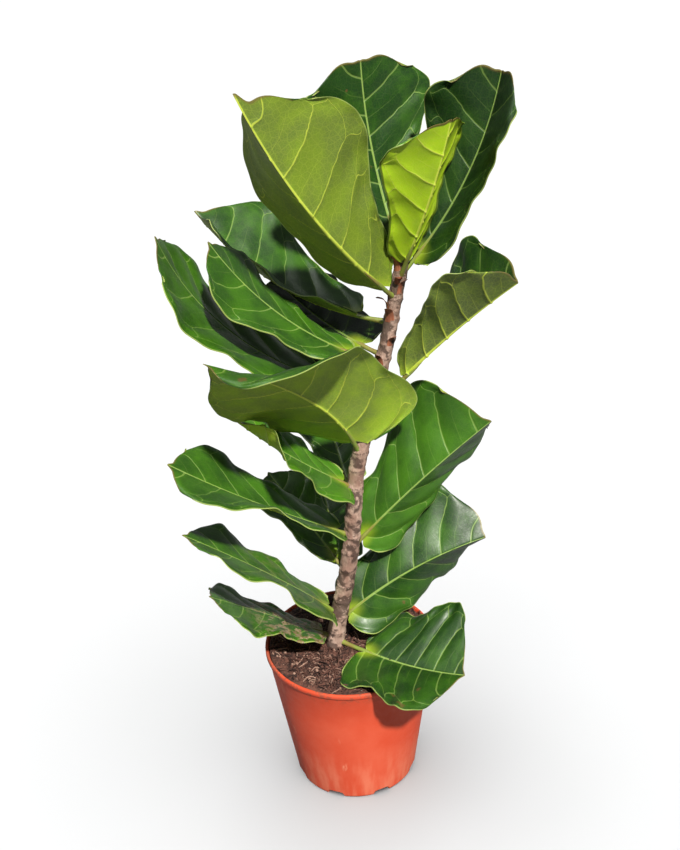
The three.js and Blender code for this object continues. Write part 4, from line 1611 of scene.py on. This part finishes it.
@dataclass
class Pot:
    """Tapered plastic nursery pot with a thin rolled rim and drain notches. Sizes in mm."""

    height: float = 215.0
    rim_radius: float = 120.0
    foot_radius: float = 86.0
    wall: float = 2.4
    floor: float = 4.0
    rim_height: float = 7.0
    rim_step: float = 2.5
    notch_count: int = 8
    notch_width: float = 24.0
    notch_height: float = 8.0
    notch_depth: float = 7.0

    def radius(self, height: float) -> float:
        """Radius of the outside below the rim.

        Args:
            height: height in millimetres.

        Returns:
            The radius in millimetres.
        """
        share = height / self.height
        return self.foot_radius + (self.rim_radius - self.rim_step - self.foot_radius) * share

    def profile(self) -> list[tuple[float, float]]:
        """Section of the pot, from the middle of its underside, out, up, over the rim and in.

        Returns:
            Pairs of radius and height in millimetres.
        """
        rim_foot = self.height - self.rim_height
        outside = [(0.6, 0.0), (self.foot_radius - 16, 0.0), (self.foot_radius - 7, 0.0),
                   (self.foot_radius - 3, 0.0), (self.radius(0.7) - 0.9, 0.4),
                   (self.radius(2), 2.0)]
        outside += [(self.radius(z), z) for z in (3.5, 5, 6.5, 7.6, 8.4, 10, 14, 24, 60, 100,
                                                  150, rim_foot - 3)]
        rim = [(self.radius(rim_foot) + 0.4, rim_foot - 1.2),
               (self.radius(rim_foot) + self.rim_step - 0.6, rim_foot - 0.2),
               (self.radius(rim_foot) + self.rim_step, rim_foot + 0.8),
               (self.rim_radius - 0.9, self.height - 3.0),
               (self.rim_radius - 1.0, self.height - 1.4),
               (self.rim_radius - 1.8, self.height - 0.3),
               (self.rim_radius - 3.0, self.height),
               (self.rim_radius - 4.2, self.height - 0.3),
               (self.rim_radius - 5.0, self.height - 1.6)]
        inside = [(self.radius(z) - self.wall, z) for z in (rim_foot, 150, 100, 50, 18)]
        inside += [(self.radius(self.floor) - 15, self.floor), (0.6, self.floor)]
        return outside + rim + inside

    def build(self, shop: Workshop) -> None:
        """Build the pot.

        Args:
            shop: the node trees, materials and list of pieces.
        """
        section = self.profile()
        half = self.notch_width / 2 / self.foot_radius
        brink = half * 1.04
        pitch = 2 * math.pi / self.notch_count
        local = np.concatenate([np.linspace(-pitch / 2, -brink, 7, endpoint=False),
                                np.linspace(-brink, brink, 15),
                                np.linspace(pitch / 2, brink, 7, endpoint=False)[:0:-1]])
        turns = np.concatenate([(i + 0.5) * pitch + local for i in range(self.notch_count)])
        notch_top = self.notch_height * np.tile(
            np.clip(1 - (np.abs(local) / half) ** 4, 0, 1) ** 0.5, self.notch_count)
        notch_back = self.foot_radius - self.notch_depth
        points = []
        for radius, height in section:
            reach = np.where(height < notch_top, min(radius, notch_back), radius)
            points.append(np.column_stack([reach * np.cos(turns), reach * np.sin(turns),
                                           np.full(len(turns), height)]))
        columns = len(turns)
        faces = grid_faces(len(section), columns, 0, closed=True, flip=True)
        cloud = np.vstack(points)
        last = (len(section) - 1) * columns
        faces.append(tuple(range(columns - 1, -1, -1)))
        faces.append(tuple(range(last, last + columns)))
        shell = make_object("pot_shell", cloud * MM, faces, PotFinish().material(shop.effects),
                            math.radians(38))
        shop.finish(shell, "pot", "pot")


@dataclass(frozen=True)
class LooseBits:
    """One kind of bit that lies on the soil: how many to a square metre, and its sizes in mm."""

    name: str
    shape: Bits
    density: float
    smallest: float
    largest: float
    turn: tuple[float, float, float]
    proportion: tuple[float, float, float]


LOOSE = (
    LooseBits("soil_crumbs", Bits.CRUMB, 80000.0, 2.0, 6.5, (FULL_TURN,) * 3, (1.0, 0.8, 0.65)),
    LooseBits("soil_fibres", Bits.FIBRE, 32000.0, 8.0, 22.0, (0.7, 0.7, FULL_TURN),
              (1.0, 1.4, 1.4)),
    LooseBits("soil_chips", Bits.CRUMB, 9000.0, 4.0, 11.0, (0.6, 0.6, FULL_TURN),
              (1.0, 0.4, 0.22)),
)


@dataclass
class Soil:
    """Bed of potting mix with loose crumbs, fibres and chips. Sizes in mm."""

    pot: Pot
    top: float = 208.0
    relief: float = 3.6
    heaped: float = 4.0
    clearance: float = 0.4
    bare_edge: float = 5.0
    rings: int = 60
    segments: int = 150
    seed: int = 3

    def height(self, x: Array, y: Array) -> Array:
        """Height of the lumpy top.

        Args:
            x: places along X in millimetres.
            y: places along Y in millimetres.

        Returns:
            Heights in millimetres.
        """
        broad = np.sin(x * 0.09 + 1.3) * np.cos(y * 0.08 + 0.4)
        fine = np.sin(x * 0.31 + y * 0.17) * np.cos(y * 0.27 - x * 0.12 + 2)
        crumb = np.sin(x * 0.83 + 2 * np.sin(y * 0.5)) * np.sin(y * 0.91 + 2 * np.cos(x * 0.43))
        return self.top + 1.0 + self.relief * (0.5 * broad + 0.35 * fine + 0.3 * crumb)

    def disc(self, edge: float) -> tuple[Array, list]:
        """Lumpy disc.

        Args:
            edge: its radius.

        Returns:
            Its points in millimetres, from the rim inwards, and its faces.
        """
        turns = np.linspace(0, 2 * np.pi, self.segments, endpoint=False)
        reach = np.linspace(edge, 1.2, self.rings)[:, None]
        x, y = reach * np.cos(turns), reach * np.sin(turns)
        fade = ease(edge - reach, 0, 12)
        z = self.top + (self.height(x, y) - self.top) * fade
        z += self.heaped * ease(reach, edge - 45, edge - 2)
        points = np.stack([x, y, z], axis=-1).reshape(-1, 3)
        faces = grid_faces(self.rings, self.segments, 0, closed=True, flip=True)
        last = (self.rings - 1) * self.segments
        faces.append(tuple(range(last, last + self.segments)))
        return points, faces

    def build_bed(self, material: bpy.types.Material) -> bpy.types.Object:
        """Closed body of the mix.

        Args:
            material: the bed's material.

        Returns:
            The bed's object.
        """
        pot, less = self.pot, self.pot.wall + self.clearance
        points, faces = self.disc(pot.radius(self.top) - less - 0.6)
        turns = np.linspace(0, 2 * np.pi, self.segments, endpoint=False)
        walls = []
        for height, reach in ((self.top - 6, pot.radius(self.top - 6) - less),
                              (18.4, pot.radius(18) - less),
                              (pot.floor + 0.3, pot.radius(pot.floor) - 15.6)):
            walls.append(np.column_stack([reach * np.cos(turns), reach * np.sin(turns),
                                          np.full(len(turns), height)]))
        base = len(points)
        points = np.vstack([points, *walls])
        count = self.segments
        for j in range(count):
            k = (j + 1) % count
            faces.append((base + j, base + k, k, j))
            for ring in range(2):
                a = base + ring * count
                faces.append((a + count + j, a + count + k, a + k, a + j))
        bottom = base + 2 * count
        faces.append(tuple(range(bottom + count - 1, bottom - 1, -1)))
        return make_object("soil_bed", points * MM, faces, material)

    def build(self, shop: Workshop) -> None:
        """Build the bed and scatter the loose bits.

        Args:
            shop: the node trees, materials and list of pieces.
        """
        finish = SoilFinish()
        bed = self.build_bed(finish.material(shop.effects, loose=False))
        shop.finish(bed, "soil", "soil")
        loose = finish.material(shop.effects, loose=True)
        flat_out = self.pot.radius(self.top) - self.pot.wall - self.bare_edge
        for kind in LOOSE:
            points, faces = self.disc(flat_out)
            carrier = make_object(kind.name + "_carrier", points * MM, faces, loose)
            bits = shop.trees.run(shop.trees.scatter[kind.shape], carrier, kind.name, {
                "Density": kind.density, "Seed": self.seed, "Smallest": kind.smallest * MM,
                "Largest": kind.largest * MM, "Turn": kind.turn, "Proportion": kind.proportion,
                "Finish": loose})
            shop.finish(bits, "soil")


@dataclass
class Studio:
    """Pale floor, lights and the camera, in metres and degrees.

    The focal length and the frame's height are in pixels, and the sensor is in millimetres.
    """

    eye: tuple[float, float, float] = (0.0, -1.45, 1.37)
    pitch: float = 29.2
    yaw: float = 0.13
    roll: float = -3.3
    focal: float = 1305.0
    frame_height: float = 850.0
    sensor: float = 36.0
    floor_seen: Colour = (0.86, 0.86, 0.86, 1.0)
    floor_thrown: Colour = (0.3, 0.3, 0.3, 1.0)
    aim_height: float = 0.55
    sun_round: float = 17.0
    sun_up: float = 50.0
    sun_power: float = 6.0
    wash_power: float = 3.45
    sheen_power: float = 26.0
    sky: Colour = (0.94, 0.97, 1.0, 1.0)
    sky_thrown: float = 0.17
    sky_seen: float = 0.92

    def build_camera(self) -> None:
        """Camera at the photographed angle."""
        pitch, yaw, roll = (math.radians(a) for a in (self.pitch, self.yaw, self.roll))
        ahead = Vector((math.sin(yaw) * math.cos(pitch), math.cos(yaw) * math.cos(pitch),
                        -math.sin(pitch)))
        level = Vector((math.cos(yaw), -math.sin(yaw), 0.0))
        above = level.cross(ahead)
        right = level * math.cos(roll) + above * math.sin(roll)
        up = above * math.cos(roll) - level * math.sin(roll)
        lens = bpy.data.cameras.new("camera")
        lens.sensor_width = self.sensor
        lens.lens = self.focal / self.frame_height * self.sensor
        camera = bpy.data.objects.new("camera", lens)
        turn = Matrix((right, up, -ahead)).transposed().to_4x4()
        camera.matrix_world = Matrix.Translation(self.eye) @ turn
        bpy.context.scene.collection.objects.link(camera)
        bpy.context.scene.camera = camera

    def build_floor(self) -> bpy.types.Object:
        """Plain pale floor, which throws back less light on the plant than it shows.

        Returns:
            The floor's object.
        """
        size = 15.0
        points = np.array([(-size, -size, 0), (size, -size, 0), (size, size, 0),
                           (-size, size, 0)])
        made, graph, shader = FinishBase.start("pale_floor")
        seen = graph.add("ShaderNodeLightPath").outputs["Is Camera Ray"]
        graph.feed(shader.inputs["Base Color"],
                   graph.blend(seen, self.floor_thrown, self.floor_seen))
        shader.inputs["Roughness"].default_value = 0.9
        floor = make_object("floor", points, [(0, 1, 2, 3)], made)
        return floor

    def lamp(self, name: str, kind: str, energy: float, around: float, up: float,
             away: float, **settings: object) -> bpy.types.Object:
        """One light that faces the middle of the plant.

        Args:
            name: the light's name.
            kind: its type.
            energy: its strength.
            around: its bearing, from the front towards the right.
            up: its height angle.
            away: its distance.
            **settings: its other properties.

        Returns:
            The light's object.
        """
        light = bpy.data.lights.new(name, kind)
        light.energy = energy
        for key, value in settings.items():
            setattr(light, key, value)
        turn, lift = math.radians(around), math.radians(up)
        back = Vector((math.sin(turn) * math.cos(lift), -math.cos(turn) * math.cos(lift),
                       math.sin(lift)))
        lamp = bpy.data.objects.new(name, light)
        lamp.location = Vector((0.0, 0.0, self.aim_height)) + back * away
        lamp.rotation_mode = "QUATERNION"
        lamp.rotation_quaternion = (-back).to_track_quat("-Z", "Y")
        bpy.context.scene.collection.objects.link(lamp)
        return lamp

    @staticmethod
    def link_light(lamp: bpy.types.Object, floor: bpy.types.Object, lit: bool) -> None:
        """Let a light reach the floor alone, or everything but the floor.

        Args:
            lamp: the light.
            floor: the floor.
            lit: true where it lights the floor.
        """
        group = bpy.data.collections.new(lamp.name + "_reach")
        group.objects.link(floor)
        group.collection_objects[0].light_linking.link_state = "INCLUDE" if lit else "EXCLUDE"
        lamp.light_linking.receiver_collection = group

    def build(self) -> None:
        """Build the camera, floor, lights and surroundings."""
        self.build_camera()
        floor = self.build_floor()
        key = self.lamp("key", "SUN", self.sun_power, self.sun_round, self.sun_up, 4.0, angle=0.05,
                        color=(1.0, 0.97, 0.9))
        self.link_light(key, floor, lit=False)
        wash = self.lamp("floor_wash", "SUN", self.wash_power, 0.0, 85.0, 4.0, angle=1.6)
        self.link_light(wash, floor, lit=True)
        sheen = self.lamp("sheen", "AREA", self.sheen_power, -95.0, 52.0, 2.3, shape="DISK",
                          size=1.7)
        sheen.visible_diffuse = False
        self.link_light(sheen, floor, lit=False)
        world = bpy.data.worlds.new("surroundings")
        world.use_nodes = True
        sky = world.node_tree.nodes["Background"]
        sky.inputs["Color"].default_value = self.sky
        graph = Graph(world.node_tree)
        seen = graph.add("ShaderNodeLightPath").outputs["Is Camera Ray"]
        graph.feed(sky.inputs["Strength"], graph.lerp(seen, self.sky_thrown, self.sky_seen))
        bpy.context.scene.world = world
        bpy.context.scene.view_settings.view_transform = "Standard"


def main() -> None:
    """Build the studio, then the plant from the pot up."""
    logging.basicConfig(level=logging.INFO, format="%(message)s")
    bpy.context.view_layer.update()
    Studio().build()
    shop = Workshop()
    pot = Pot()
    pot.build(shop)
    Soil(pot).build(shop)
    path = StemPath()
    Stem(path).build(shop)
    leaf_look = LeafFinish().material(shop.effects)
    stalk_look = StalkFinish().material(shop.effects)
    for order, shape in enumerate(LEAVES):
        Leaf(f"leaf_{order + 1:02d}", shape, path, order).build(shop, leaf_look, stalk_look)
    log.info("%d pieces", len(shop.made))
    bpy.context.view_layer.update()


if __name__ == "__main__":
    main()
